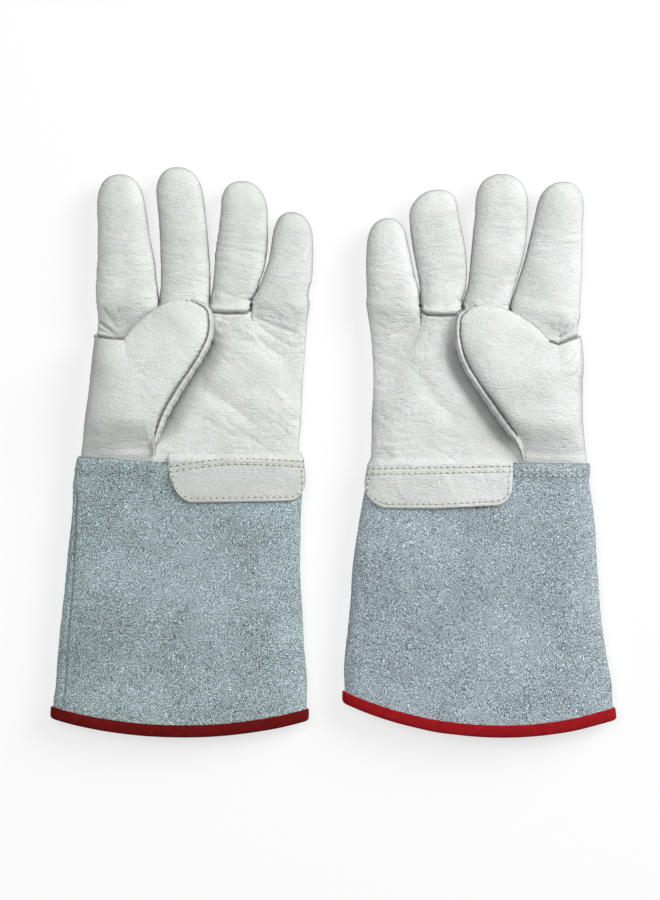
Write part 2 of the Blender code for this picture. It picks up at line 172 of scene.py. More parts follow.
LEFT = Glove(
    name="left", side=-1, centre=-87.05, seed=3, wrist=-4.0,
    hand=((-6.0, 68.4, -67.4), (1.0, 67.3, -66.7), (19.6, 65.5, -67.9), (38.0, 63.0, -68.6),
          (56.0, 61.1, -70.2), (70.0, 59.3, -71.2), (82.0, 59.0, -72.6), (92.0, 60.0, -74.0)),
    cuff=((0.0, 69.4, -68.0), (0.08, 71.8, -69.0), (0.19, 72.4, -68.0), (0.42, 76.4, -67.9),
          (0.65, 80.6, -69.8), (0.85, 84.2, -71.5), (1.0, 85.2, -71.2)),
    hem=(-157.5, -158.8, 10.35),
    knuckles=((59.2, 91.9), (19.6, 93.9), (-11.6, 95.5), (-37.0, 93.4), (-73.6, 90.1)),
    fingers=(
        Finger("index", ((104.0, 39.8, 19.2), (119.0, 40.4, 18.0), (129.0, 41.2, 16.9),
                         (140.0, 41.9, 16.0), (150.0, 42.9, 15.4)), (170.6, 43.9), 21.0),
        Finger("middle", ((99.0, 3.7, 15.6), (113.5, 3.6, 15.8), (125.0, 4.2, 15.5),
                          (142.0, 5.3, 15.1), (154.0, 6.6, 15.0)), (175.0, 8.6), 18.0),
        Finger("ring", ((99.0, -26.3, 13.6), (105.6, -28.0, 14.8), (112.0, -29.4, 15.8),
                        (120.0, -30.6, 16.3), (138.0, -32.0, 15.6), (150.0, -32.4, 14.8)),
               (166.5, -31.0), 17.0),
        Finger("little", ((98.0, -56.4, 16.3), (106.0, -58.9, 15.8), (116.0, -60.9, 14.4),
                          (128.0, -62.0, 13.3), (138.0, -62.2, 12.4)), (147.5, -61.6), 17.0)),
    fold=((22.6, -2.4), (41.3, 69.2)),
    seam=((0.0, 24.0, -2.2), (0.10, 23.2, 6.0), (0.25, 18.8, 21.0), (0.42, 10.2, 37.0),
          (0.58, 1.2, 50.5), (0.70, -5.6, 61.5), (0.80, -9.8, 71.5), (0.88, -10.4, 81.0),
          (0.94, -7.0, 88.8), (0.975, 2.5, 92.6), (1.0, 13.5, 91.9)),
    seam_bulge=2.6,
    base_seam=((58.6, 71.4), (50.0, 69.9), (41.3, 69.2)),
    welt=((0.0, 1.2), (0.12, 3.2), (0.3, 4.0), (0.6, 3.6), (0.85, 3.4), (0.93, 2.6), (0.97, 0.6)),
    creases=((((58.6, 71.2), (50.0, 69.6), (41.3, 69.0)), 1.1, 0.8),
             (((-11.2, 88.0), (-12.6, 85.8), (-22.0, 84.9), (-33.8, 85.1), (-36.2, 86.8),
               (-36.9, 90.0)), 1.6, 0.8),
             (((19.6, 92.5), (19.0, 89.0)), 0.4, 0.8),
             (((-37.0, 84.0), (-52.0, 77.5), (-67.0, 72.4)), 0.45, 1.1),
             (((-39.0, 80.0), (-50.0, 71.5), (-66.0, 63.0)), 0.35, 1.2),
             (((-36.0, 76.0), (-47.0, 65.0), (-60.0, 57.0)), 0.30, 1.3),
             (((58.4, 81.0), (51.0, 75.6), (43.0, 70.2)), 0.75, 0.8),
             (((58.6, 76.2), (52.0, 73.2), (45.0, 70.6)), 0.55, 0.7),
             (((55.0, 90.0), (48.0, 80.0), (42.6, 71.6)), 0.45, 0.9),
             (((46.0, 92.0), (43.0, 82.0), (41.4, 73.0)), 0.35, 0.9),
             (((18.0, 92.0), (12.0, 86.0), (4.0, 84.0)), 0.4, 1.0),
             (((6.0, 30.0), (-8.0, 20.0), (-30.0, 8.0)), 0.2, 1.0),
             (((0.0, 42.0), (-20.0, 32.0), (-44.0, 14.0)), 0.18, 1.0),
             (((-2.0, 46.0), (-16.0, 34.0), (-40.0, 16.0)), 0.95, 4.5),
             (((-20.0, 76.0), (-38.0, 66.0), (-60.0, 60.0)), 0.6, 3.5)),
    folds=((((-12.5, 87.8), (-22.0, 87.6), (-35.6, 87.8)), 1.4, 1.5),),
    fans=((-38.0, 84.0, 30.0, 0.42, 23), (-12.0, 86.0, 18.0, 0.32, 17), (19.0, 92.0, 20.0, 0.36, 19),
          (42.0, 70.5, 22.0, 0.55, 21), (23.0, -2.0, 36.0, 0.34, 23), (-60.0, -4.0, 30.0, 0.2, 19),
          (-24.0, 84.0, 14.0, 0.34, 25)),
    cuff_top=(-2.6, -6.4), cuff_stitches=(), cuff_crease=0.6,
    patch=Patch(13.4, -0.8, (-31.2, -30.8, -30.0), (-9.0, -4.4, -5.7), (0.18, 0.82, 0.11, 0.42), 0.30),
    leather=(0.650, 0.668, 0.646), suede=(0.284, 0.354, 0.367), tape=(0.115, 0.0035, 0.0035))

RIGHT = Glove(
    name="right", side=1, centre=89.85, seed=11, wrist=-6.5,
    hand=((-8.0, 66.8, -67.0), (1.0, 65.5, -66.7), (19.6, 64.2, -66.1), (38.0, 63.7, -65.5),
          (56.0, 64.2, -66.1), (66.0, 63.4, -66.9), (76.0, 61.6, -68.2), (88.0, 62.6, -70.2)),
    cuff=((0.0, 67.6, -67.0), (0.08, 68.0, -69.4), (0.19, 70.2, -72.6), (0.42, 73.0, -77.6),
          (0.65, 76.2, -80.2), (0.85, 79.8, -83.0), (1.0, 82.6, -83.0)),
    hem=(-158.0, -148.0, 15.3),
    knuckles=((62.2, 83.4), (19.0, 89.7), (-10.2, 93.0), (-36.3, 92.2), (-69.9, 90.6)),
    fingers=(
        Finger("index", ((99.0, 42.5, 20.5), (111.0, 44.7, 19.2), (123.6, 46.4, 17.8),
                         (135.0, 47.8, 16.5), (146.0, 49.2, 15.4)), (166.0, 51.8), 18.0),
        Finger("middle", ((98.5, 6.6, 14.6), (105.5, 8.3, 15.2), (116.3, 10.4, 16.4),
                          (124.2, 11.7, 17.1), (134.8, 12.8, 17.2), (146.0, 13.7, 16.9)),
               (170.8, 13.9), 20.0),
        Finger("ring", ((98.0, -22.5, 14.3), (105.0, -22.6, 15.2), (113.0, -23.2, 16.1),
                        (122.0, -24.3, 16.6), (136.7, -26.5, 16.4), (147.0, -27.6, 15.8)),
               (161.2, -25.4), 17.0),
        Finger("little", ((98.0, -53.0, 16.4), (108.4, -54.4, 15.4), (120.0, -55.7, 14.2),
                          (130.0, -56.4, 12.9)), (143.6, -56.0), 17.0)),
    fold=((27.5, -4.9), (42.8, 68.0)),
    seam=((0.0, 28.2, -5.6), (0.10, 25.0, 6.0), (0.25, 17.6, 17.5), (0.42, 8.2, 31.0),
          (0.58, -1.0, 44.0), (0.70, -7.2, 54.5), (0.80, -10.8, 65.0), (0.88, -11.8, 76.0),
          (0.94, -9.3, 84.2), (0.975, -1.0, 89.2), (1.0, 9.5, 89.4)),
    seam_bulge=3.0,
    base_seam=((60.8, 71.4), (53.2, 68.4), (47.7, 66.2), (42.8, 68.0)),
    welt=((0.0, 1.0), (0.12, 3.4), (0.3, 4.2), (0.6, 3.8), (0.85, 3.4), (0.93, 3.0), (0.97, 0.8)),
    creases=((((60.8, 71.2), (53.2, 68.2), (47.7, 66.0), (42.8, 67.8)), 1.2, 0.8),
             (((-36.0, 89.6), (-35.2, 85.9), (-32.6, 84.1), (-23.0, 83.4), (-14.0, 84.0), (-11.4, 85.8),
               (-10.4, 89.0)), 1.6, 0.8),
             (((19.0, 88.5), (18.6, 85.0)), 0.4, 0.8),
             (((-37.0, 83.0), (-50.0, 74.0), (-62.0, 70.0)), 0.40, 1.1),
             (((-33.0, 82.0), (-38.0, 70.0), (-47.0, 58.0)), 0.18, 1.2),
             (((-25.0, 82.0), (-22.0, 68.0), (-26.0, 52.0)), 0.2, 1.3),
             (((54.0, 73.4), (51.0, 71.0), (48.6, 70.6)), 0.8, 0.8),
             (((55.0, 79.0), (51.0, 74.0), (48.6, 67.6)), 0.55, 0.8),
             (((50.0, 82.0), (48.4, 75.0), (47.8, 68.4)), 0.45, 0.8),
             (((44.0, 80.0), (45.6, 74.0), (47.0, 68.4)), 0.35, 0.8),
             (((60.0, 62.0), (56.0, 56.0), (50.0, 52.0)), 0.35, 1.0),
             (((61.0, 50.0), (56.0, 47.0), (50.0, 46.0)), 0.3, 1.0),
             (((-8.0, 30.0), (-28.0, 40.0), (-44.0, 52.0)), 0.16, 1.0),
             (((-2.0, 16.0), (-22.0, 27.0), (-40.0, 38.0)), 0.15, 1.0),
             (((-10.0, 14.0), (-30.0, 36.0), (-44.0, 58.0)), 0.6, 4.0)),
    folds=((((-35.2, 87.0), (-23.0, 86.2), (-12.0, 87.2)), 1.5, 1.6),),
    fans=((-34.0, 83.5, 32.0, 0.42, 23), (-12.0, 86.0, 16.0, 0.32, 17), (19.0, 88.0, 20.0, 0.36, 19),
          (48.0, 67.5, 20.0, 0.60, 21), (26.0, -4.0, 34.0, 0.34, 23), (-60.0, -4.0, 30.0, 0.22, 19),
          (-23.0, 83.0, 16.0, 0.36, 25)),
    cuff_top=(-7.0, -6.6), cuff_stitches=(-11.2, -14.6), cuff_crease=0.0,
    patch=Patch(19.6, -3.4, (-32.4, -34.7, -34.4), (-8.6, -9.4, -10.4), (0.11, 0.42, 0.20, 0.62), 0.0),
    leather=(0.675, 0.687, 0.678), suede=(0.310, 0.369, 0.397), tape=(0.26, 0.006, 0.009))


# ---------------------------------------------------------------- numbers

def smoothstep(low, high, value):
    share = np.clip((np.asarray(value, float) - low) / (high - low), 0.0, 1.0)
    return share * share * (3.0 - 2.0 * share)


def spline(at, table, column=1):
    """Smooth reading of a table's column at values of its first column."""
    xs = np.array([row[0] for row in table], float)
    ys = np.array([row[column] for row in table], float)
    slopes = np.gradient(ys, xs)
    at = np.clip(np.asarray(at, float), xs[0], xs[-1])
    index = np.clip(np.searchsorted(xs, at, side="right") - 1, 0, len(xs) - 2)
    width = xs[index + 1] - xs[index]
    t = (at - xs[index]) / width
    return ((2 * t**3 - 3 * t**2 + 1) * ys[index] + (t**3 - 2 * t**2 + t) * width * slopes[index]
            + (3 * t**2 - 2 * t**3) * ys[index + 1] + (t**3 - t**2) * width * slopes[index + 1])


def lattice_value(cells, seed):
    n = (cells[..., 0] * 73856093) ^ (cells[..., 1] * 19349663) ^ (cells[..., 2] * 83492791)
    n = (n ^ (seed * 2654435761)) & 0xFFFFFFFF
    n = ((n ^ (n >> 15)) * 2246822519) & 0xFFFFFFFF
    n = ((n ^ (n >> 13)) * 3266489917) & 0xFFFFFFFF
    return ((n ^ (n >> 16)) & 0xFFFF) / 32767.5 - 1.0


def noise(points, sizes, seed):
    """Smooth random field in -1 to 1, with one size in millimetres for each direction."""
    scaled = np.asarray(points, float) / np.array(sizes, float)
    cell = np.floor(scaled).astype(np.int64)
    part = scaled - cell
    part = part * part * (3.0 - 2.0 * part)
    total = 0.0
    for corner in range(8):
        offset = np.array([corner & 1, corner >> 1 & 1, corner >> 2 & 1])
        weight = np.prod(np.where(offset, part, 1.0 - part), axis=-1)
        total = total + weight * lattice_value(cell + offset + 4096, seed)
    return total


def layers(points, seed, *table):
    """Sum of random fields: rows of (height, sizes, number added to the seed)."""
    return sum(height * noise(points, sizes, seed + number) for height, sizes, number in table)


def running_length(path):
    """Length along a path up to each of its points."""
    return np.concatenate([[0.0], np.cumsum(np.linalg.norm(np.diff(path, axis=0), axis=1))])


def rounded(angle, fullness):
    """Cosine and sine of an angle, pushed out toward a rounded rectangle."""
    c, s = np.cos(angle), np.sin(angle)
    return np.sign(c) * np.abs(c) ** fullness, np.sign(s) * np.abs(s) ** fullness


def path_distance(points, path):
    """Distance in plan from points to a path, and the share of the path's length there."""
    plan = points[..., :2]
    path = np.array(path, float)
    lengths = np.linalg.norm(np.diff(path, axis=0), axis=1)
    best = np.full(plan.shape[:-1], 1e9)
    where = np.zeros(plan.shape[:-1])
    run = 0.0
    for start, end, length in zip(path, path[1:], lengths):
        t = np.clip(((plan - start) @ (end - start)) / length**2, 0.0, 1.0)
        gap = np.linalg.norm(plan - (start + t[..., None] * (end - start)), axis=-1)
        nearer = gap < best
        best = np.where(nearer, gap, best)
        where = np.where(nearer, (run + t * length) / lengths.sum(), where)
        run += length
    return best, where


# ---------------------------------------------------------------- mesh

def world(glove, points):
    """World places in metres of glove points in millimetres."""
    points = np.asarray(points, float)
    out = points * MM
    out[..., 0] = (glove.centre + glove.side * points[..., 0]) * MM
    return out


def grid_normals(grid, upward):
    """Unit normals of a grid of points, pointing up or down on the whole."""
    normals = np.cross(np.gradient(grid, axis=1), np.gradient(grid, axis=0))
    lengths = np.linalg.norm(normals, axis=-1, keepdims=True)
    normals = normals / np.maximum(lengths, 1e-9)
    sign = np.sign(normals[..., 2].sum()) * (1.0 if upward else -1.0)
    return normals * (sign if sign else 1.0)


def grid_faces(rows, columns, start, loop):
    r, c = np.meshgrid(np.arange(rows - 1), np.arange(columns if loop else columns - 1), indexing="ij")
    after = (c + 1) % columns
    quads = np.stack([r * columns + c, r * columns + after, (r + 1) * columns + after,
                      (r + 1) * columns + c], axis=-1)
    return quads.reshape(-1, 4) + start


def shell_object(glove, name, outer, inner, material, cavity=None, loop=False):
    """A ply as a closed sheet between two grids. Rows that end in one point make a tip."""
    rows, columns = outer.shape[:2]
    count = rows * columns
    faces = [grid_faces(rows, columns, 0, loop), grid_faces(rows, columns, count, loop)[:, ::-1]]
    last = columns if loop else columns - 1
    index = np.arange(last)
    after = (index + 1) % columns
    for row in (0, rows - 1):
        base = row * columns
        faces.append(np.stack([base + index, base + after, count + base + after,
                               count + base + index], axis=-1))
    if not loop:
        down = np.arange(rows - 1) * columns
        for column in (0, columns - 1):
            faces.append(np.stack([down + column, down + columns + column,
                                   count + down + columns + column, count + down + column], axis=-1))
    local = np.concatenate([outer.reshape(-1, 3), inner.reshape(-1, 3)])
    depth = np.zeros(count) if cavity is None else cavity.reshape(-1)
    return mesh_object(glove, name, local, np.concatenate(faces), material,
                       np.concatenate([depth, depth]))


def store(data, name, values):
    """Keep a value, or a place, for each vertex of a mesh."""
    values = np.asarray(values, np.float32)
    kind, key = ("FLOAT", "value") if values.ndim == 1 else ("FLOAT_VECTOR", "vector")
    data.attributes.new(name, kind, "POINT").data.foreach_set(key, values.ravel())


def mesh_object(glove, name, local, faces, material, cavity):
    """Build and clean the mesh. Attributes keep flat places, darkening (painted shade in creases, the
    patch's tone) and steep sides.
    """
    data = bpy.data.meshes.new(name)
    data.from_pydata(world(glove, local).tolist(), [], np.asarray(faces).tolist())
    store(data, "rest", local + np.array([0.0, 0.0, FIELD_SHIFT * glove.seed]))
    store(data, "cavity", cavity)
    mesh = bmesh.new()
    mesh.from_mesh(data)
    bmesh.ops.remove_doubles(mesh, verts=mesh.verts, dist=2e-6)
    bmesh.ops.dissolve_degenerate(mesh, edges=mesh.edges, dist=1e-7)
    bmesh.ops.recalc_face_normals(mesh, faces=mesh.faces)
    mesh.to_mesh(data)
    mesh.free()
    normals = np.empty(3 * len(data.vertices), np.float32)
    data.vertex_normals.foreach_get("vector", normals)
    # How steep the rest surface is, for the painted shade on the glove's sides.
    store(data, "edge", 1.0 - np.abs(normals[2::3]) ** 0.7)
    data.shade_smooth()
    data.set_sharp_from_angle(angle=math.radians(SHARP_ANGLE))
    return link_piece(name, data, material)


def link_piece(name, data, material):
    data.materials.append(material)
    piece = bpy.data.objects.new(name, data)
    bpy.context.collection.objects.link(piece)
    return piece


def ply(glove, name, grid, thickness, material, upward, relief=None, cavity=None, pins=()):
    """A ply from its outer surface: displaced by its relief, then given its thickness inward.

    Pins are (edge, (outer, inner)) pairs that hold an edge on its neighbour's. Gives back the piece
    and its two grids.
    """
    if relief is not None:
        grid = grid + grid_normals(grid, upward) * relief[..., None]
        grid[..., 2] = np.maximum(grid[..., 2], 0.15)
    for edge, rim in pins:
        grid[edge] = rim[0]
    inner = grid - grid_normals(grid, upward) * thickness
    inner[..., 2] = np.maximum(inner[..., 2], 0.2 + thickness * 0.5)
    for edge, rim in pins:
        inner[edge] = rim[1]
    return shell_object(glove, name, grid, inner, material, cavity), grid, inner


# ---------------------------------------------------------------- shapes

def finger_half(glove, index, angles, inset=0.0, rows=FINGER_ROWS):
    """Grid over a finger from its hinge line to its tip. Angles 0 to pi cover the palm side."""
    finger = glove.fingers[index]
    near, far = hinge_ends(glove, index)
    centre = (near + far) / 2
    half = np.linalg.norm(near - far) / 2 - 0.15
    table = ((centre[1], centre[0], half), *finger.rows,
             (finger.tip[0], finger.tip[1], finger.rows[-1][2] - 0.6))
    cap_start = finger.tip[0] - finger.cap
    body_y = np.linspace(centre[1], cap_start, rows, endpoint=False)
    turn = np.linspace(0.0, math.pi / 2, CAP_ROWS)
    cap_y = cap_start + (finger.cap - inset) * np.sin(turn)
    ys = np.concatenate([body_y, cap_y])
    reach = np.clip((ys - cap_start) / (finger.cap - inset), 0.0, 1.0)
    shrink = (1.0 - reach ** 2.3) ** (1 / 2.3)
    shrink[-1] = 0.0
    across, rise = rounded(angles, FINGER_FULLNESS)
    rise = np.where(rise < 0, np.maximum(rise * 1.1, -1.0), rise)
    width = (spline(ys, table, 2) - inset) * shrink
    slant = (near[1] - far[1]) / 2 * (1.0 - smoothstep(0.0, 0.5, (ys - ys[0]) / (ys[-1] - ys[0])))
    grid = np.empty((len(ys), len(angles), 3))
    grid[..., 0] = spline(ys, table, 1)[:, None] + width[:, None] * across
    grid[..., 1] = ys[:, None] + slant[:, None] * across * (shrink[:, None] > 0)
    puff = (FINGER_MID - inset) * shrink ** 0.85
    grid[..., 2] = FINGER_MID + puff[:, None] * rise
    return grid


def hinge_ends(glove, index):
    """Plan places of a finger's hinge line: thumb side, little-finger side."""
    return np.array(glove.knuckles[index]), np.array(glove.knuckles[index + 1])


def knuckle_row(glove, upward, inset=0.0):
    """The hand's last row: the four fingers' first rows, side by side."""
    angles = half_angles(upward, FINGER_COLUMNS)
    return np.concatenate([finger_half(glove, index, angles, inset)[0] for index in range(4)])


def half_angles(upward, count):
    """Angles from the thumb side to the little-finger side over the top, or underneath."""
    sweep = np.linspace(0.0, math.pi, count)
    return sweep if upward else -sweep


def tube_point(thumb_side, little_side, angle, inset):
    """Place across the hand or cuff and height there, at an angle round it."""
    across, rise = rounded(angle, TUBE_FULLNESS)
    rise = np.where(rise < 0, np.maximum(rise * 1.12, -1.0), rise)
    half = (thumb_side - little_side) / 2 - inset
    place = (thumb_side + little_side) / 2 + half * across
    return place, np.broadcast_to(HAND_MID + (HAND_MID - inset) * rise, place.shape)


def hand_half(glove, upward, inset=0.0):
    """Grid over the palm or the back, from the wrist to the hinge lines of the fingers."""
    last = knuckle_row(glove, upward, inset)
    angles = half_angles(upward, len(last))
    start, top = glove.hand[0][0] - 4.0, glove.hand[-1][0]
    shares = np.linspace(0.0, 1.0, HAND_ROWS)
    ys = start + (top - start) * shares
    thumb_side = spline(ys, glove.hand, 1)[:, None]
    little_side = spline(ys, glove.hand, 2)[:, None]
    across, height = tube_point(thumb_side, little_side, angles[None, :], inset)
    grid = np.stack([across, np.broadcast_to(ys[:, None], across.shape), height], axis=-1)
    plan = smoothstep(0.35, 1.0, shares)[:, None]
    lift = smoothstep(0.80, 1.0, shares)[:, None]
    grid[..., 0] += (last[:, 0] - grid[-1, :, 0]) * plan
    grid[..., 1] += (last[:, 1] - grid[-1, :, 1]) * plan
    grid[..., 2] += (last[:, 2] - grid[-1, :, 2]) * lift ** 1.5
    return grid


def cuff_edge(glove, across):
    """y of the cuff's top edge at places across it."""
    return np.interp(across, (glove.patch.thumb_p, glove.cuff[0][1]), glove.cuff_top[::-1])


def cuff_half(glove, angles, shares, inset=0.0):
    """Grid over the cuff at shares of its length. A negative inset stands off it."""
    thumb_side = spline(shares, glove.cuff, 1)[:, None]
    little_side = spline(shares, glove.cuff, 2)[:, None]
    across, height = tube_point(thumb_side, little_side, angles[None, :], inset)
    thumb_y, little_y, droop = glove.hem
    side_share = (thumb_side - across) / (thumb_side - little_side)
    hem_y = thumb_y + (little_y - thumb_y) * side_share - droop * (1 - (2 * side_share - 1) ** 2)
    top_y = cuff_edge(glove, across)
    along = top_y + (hem_y - top_y) * shares[:, None]
    return np.stack([across, along, height], axis=-1)


def seam_path(glove, shares):
    """Plan places on the seam round the thumb's free edge."""
    return np.stack([spline(shares, glove.seam, 1), spline(shares, glove.seam, 2)], axis=-1)


def thumb_shares():
    """Shares along the thumb for its rows, which crowd toward its top."""
    return 1.0 - (1.0 - np.linspace(0.0, 1.0, THUMB_ROWS)) ** 1.25


def thumb_rows(glove, shares):
    """Plan places of the thumb's side edge, fold line and seam at shares along it."""
    low, high = np.array(glove.fold, float)
    fold = low + (high - low) * shares[:, None]
    side_y = glove.hand[0][0] + (glove.base_seam[0][1] - glove.hand[0][0]) * shares
    side = np.stack([spline(side_y, glove.hand, 1), side_y], axis=-1)
    return side, fold, seam_path(glove, shares)


def fold_height(shares):
    """Height of the thumb's fold along its length."""
    return 21.2 + 10.3 * smoothstep(0.0, 0.34, shares) - 4.5 * smoothstep(0.72, 1.0, shares)


def thumb_outer_grid(glove):
    """The thumb's upper face, from its fold to the seam at its free edge."""
    shares = thumb_shares()
    _, fold, seam = thumb_rows(glove, shares)
    v = np.linspace(0.0, 1.0, THUMB_COLUMNS) ** 0.85
    plan = fold[:, None] + (seam - fold)[:, None] * v[None, :, None]
    outward = np.array([-(seam - fold)[-1][1], (seam - fold)[-1][0]])
    outward = outward / np.linalg.norm(outward) * np.sign(outward[1])
    bulge = glove.seam_bulge * 4 * v * (1 - v)
    plan = plan + (shares ** 8)[:, None, None] * bulge[None, :, None] * outward
    ridge = fold_height(shares)[:, None]
    edge_drop = 1.0 - v[None, :] ** 5
    body = (THUMB_SEAM + 1.2) + (ridge - THUMB_SEAM - 1.2) * edge_drop ** 0.55
    tip = end_round(shares)[:, None]
    height = THUMB_SEAM - 0.6 + (body - THUMB_SEAM + 0.6) * (0.08 + 0.92 * tip)
    foot = smoothstep(0.0, 0.10, shares)[:, None]
    height = 21.0 + (height - 21.0) * (0.25 + 0.75 * foot)
    return np.concatenate([plan, height[..., None]], axis=-1)


def end_round(shares):
    """Falls from 1 to 0 round the top edge of the thumb and the panel beside it."""
    end = np.clip((shares - 0.915) / 0.085, 0.0, 1.0)
    return (1.0 - end ** 2.2) ** (1 / 2.2)


def thenar_grid(glove):
    """The thumb-side panel, from the glove's side seam up to the thumb's fold."""
    shares = thumb_shares()
    side, fold, _ = thumb_rows(glove, shares)
    rim = thumb_outer_grid(glove)
    turn = np.linspace(0.0, math.pi / 2, THENAR_COLUMNS)
    reach, rise = np.cos(turn) ** 0.8, np.sin(turn) ** 0.62
    plan = fold[:, None] + (side - fold)[:, None] * reach[None, :, None]
    across, ups = zip(*reversed(glove.base_seam))
    foot = np.interp(plan[-1, :, 0], across, ups)
    plan[..., 1] += (foot - plan[-1, :, 1]) * (shares[:, None] ** 3)
    plan[..., 1] -= 6.0 * (1.0 - smoothstep(0.0, 0.07, shares))[:, None]
    height = HAND_MID + (rim[:, 0, 2][:, None] - HAND_MID) * rise[None, :]
    palm = tube_point(side[:, 0:1], np.full((len(side), 1), glove.hand[4][2]),
                      np.arccos(np.clip(reach, 0, 1))[None, :], 0.0)[1]
    full = HAND_MID + (fold_height(shares)[:, None] - HAND_MID) * rise[None, :]
    low = np.minimum(height, palm + 0.4)
    round_off = end_round(shares)[:, None]
    edge = cuff_edge(glove, plan[..., 0])
    height = height - 2.6 * (1.0 - smoothstep(edge - 1.5, edge + 3.0, plan[..., 1]))
    low = np.minimum(height, low)
    beside = smoothstep(0.55, 1.0, rise)[None, :]
    height = height + (low - height) * (1.0 - smoothstep(0.03, 0.16, shares))[:, None] * (1 - beside)
    height = np.where(shares[:, None] > 0.5, (low + (full - low) * round_off) * (1 - beside)
                      + height * beside, height)
    return np.concatenate([plan, height[..., None]], axis=-1)


def thumb_inner_grid(glove):
    """The thumb's face toward the palm."""
    outer = thumb_outer_grid(glove)
    v = np.linspace(0.0, 1.0, THUMB_COLUMNS)[None, :]
    grid = outer.copy()
    hang = np.minimum(outer[..., 2] - 1.6, THUMB_SEAM - 0.2)
    over_palm = 20.6 + 0.6 * v ** 2
    grid[..., 2] = np.minimum(over_palm + (hang - over_palm) * v ** 6, hang)
    return grid


# ---------------------------------------------------------------- relief

def crease_lines(points, sizes, seed):
    """Thin valleys along the zero lines of a stretched random field."""
    return -np.exp(-(noise(points, sizes, seed) / 0.26) ** 2)


def turned(points, degrees):
    """Points turned in plan, so that a stretched field runs at a slant."""
    c, s = math.cos(math.radians(degrees)), math.sin(math.radians(degrees))
    return points @ np.array([[c, s, 0.0], [-s, c, 0.0], [0.0, 0.0, 1.0]])


def fan_relief(points, glove):
    """Wrinkles that spread from the corners where the leather is drawn together."""
    total = np.zeros(points.shape[:-1])
    for index, (p, y, reach, height, lines) in enumerate(glove.fans):
        radius = np.hypot(points[..., 0] - p, points[..., 1] - y)
        angle = np.arctan2(points[..., 1] - y, points[..., 0] - p)
        angle = angle + 0.3 * noise(points, (8, 8, 20), glove.seed + 60 + index)
        ridge = np.abs(np.sin(angle * lines / 2 + index)) ** 0.6 - 0.7
        patchy = 0.4 + 0.6 * smoothstep(-0.4, 0.5, noise(points, (9, 9, 20), glove.seed + 66 + index))
        total += height * ridge * patchy * np.exp(-(radius / reach) ** 2) * smoothstep(0.6, 5.0, radius)
    return total


def crease_relief(points, glove, widest=9.0):
    """The named creases and rolled folds."""
    total = np.zeros(points.shape[:-1])
    for path, depth, width in glove.creases:
        if width > widest:
            continue
        gap, share = path_distance(points, path)
        ends = 1.0
        if depth < 1.0:
            ends = smoothstep(0.0, 0.15, share) * (1 - smoothstep(0.85, 1.0, share))
        total -= depth * ends * np.exp(-(gap / width) ** 2)
        total += 0.28 * depth * ends * np.exp(-((gap - 2.3 * width) / (1.3 * width)) ** 2)
    for path, height, width in glove.folds:
        total += height * np.exp(-(path_distance(points, path)[0] / width) ** 2)
    return total


def leather_relief(points, glove, wrinkle=1.0):
    """Height of the palm leather over its smooth shape: seams, folds, fans and fine wrinkles."""
    seed = glove.seed
    relief = layers(points, seed, (0.5, (26, 22, 30), 0), (0.22, (11, 9, 20), 1))
    slanted = turned(points, 35.0 * glove.side)
    slack = smoothstep(-0.35, 0.5, noise(points, (19, 17, 30), seed + 3))
    relief += wrinkle * slack * (0.20 * noise(slanted, (9.0, 2.2, 9.0), seed + 2)
                                 + 0.32 * crease_lines(slanted, (12.0, 3.8, 20.0), seed + 7))
    level = smoothstep(-0.3, 0.5, noise(points, (15, 21, 30), seed + 5))
    relief += wrinkle * level * (0.13 * noise(points, (8.0, 1.8, 9.0), seed + 4)
                                 + 0.30 * crease_lines(points, (13.0, 3.4, 20.0), seed + 8))
    relief += wrinkle * 0.09 * noise(points, (2.1, 2.1, 4), seed + 6)
    return relief + wrinkle * fan_relief(points, glove) + crease_relief(points, glove)


def finger_relief(points, glove, index):
    """Finger leather: soft dents, with fine wrinkles across that fade toward the tip."""
    seed = glove.seed + 20 + 7 * index
    finger = glove.fingers[index]
    relief = layers(points, seed, (0.4, (17, 24, 30), 0), (0.16, (8, 9, 20), 1))
    slack = smoothstep(12.0, 45.0, finger.tip[0] - points[..., 1])
    slack = 0.25 + 0.75 * slack * smoothstep(-0.5, 0.4, noise(points, (30, 15, 40), seed + 2))
    relief += slack * (0.16 * noise(turned(points, 10.0), (8.5, 1.9, 9.0), seed + 3)
                       + 0.36 * crease_lines(turned(points, -9.0), (13.0, 3.4, 16.0), seed + 5))
    relief += 0.09 * noise(points, (2.0, 2.0, 4.0), seed + 4)
    return relief + fan_relief(points, glove)


def valley_relief(points, glove):
    """The hollow of the palm beside the thumb's free edge."""
    path = seam_path(glove, np.linspace(0.02, 0.96, 24))
    gap, share = path_distance(points, path)
    beside = points[..., 0] < np.interp(points[..., 1], path[:, 1], path[:, 0]) + 6.0
    outward = np.maximum(gap - 4.5, 0.0)
    depth = 5.0 * np.exp(-(outward / 7.0) ** 2) + 1.8 * np.exp(-(outward / 19.0) ** 2)
    ends = smoothstep(0.0, 0.25, share) * (1 - smoothstep(0.66, 0.92, share))
    return -depth * ends * np.where(beside, 1.0, 0.7)


def valley_painted_shadow(points, glove):
    """Painted shadow: the dark line where the palm runs in under the thumb."""
    gap, share = path_distance(points, seam_path(glove, np.linspace(0.02, 0.93, 24)))
    ends = smoothstep(0.0, 0.2, share) * (1 - smoothstep(0.75, 1.0, share))
    outward = np.maximum(gap - 3.6, 0.0)
    return ends * (0.56 * np.exp(-(outward / 4.0) ** 2) + 0.26 * np.exp(-(outward / 12.0) ** 2))


def deep_parts(relief):
    """How far each point lies in a crease, from 0 to 1, for the painted shade there."""
    return np.clip(-relief / FULL_SHADE_DEPTH, 0.0, 1.0)


def crease_painted_shade(points, glove):
    """Painted shade in the seams and the sharp creases. The wide hollows get none."""
    return deep_parts(crease_relief(points, glove, 1.5))


def back_relief(points, glove):
    """The leather of the back, which no photograph shows: soft dents and fine wrinkles."""
    return layers(points, glove.seed, (0.5, (30, 26, 30), 40), (0.22, (9, 8, 20), 41),
                  (0.14, (6.0, 1.9, 9.0), 42))


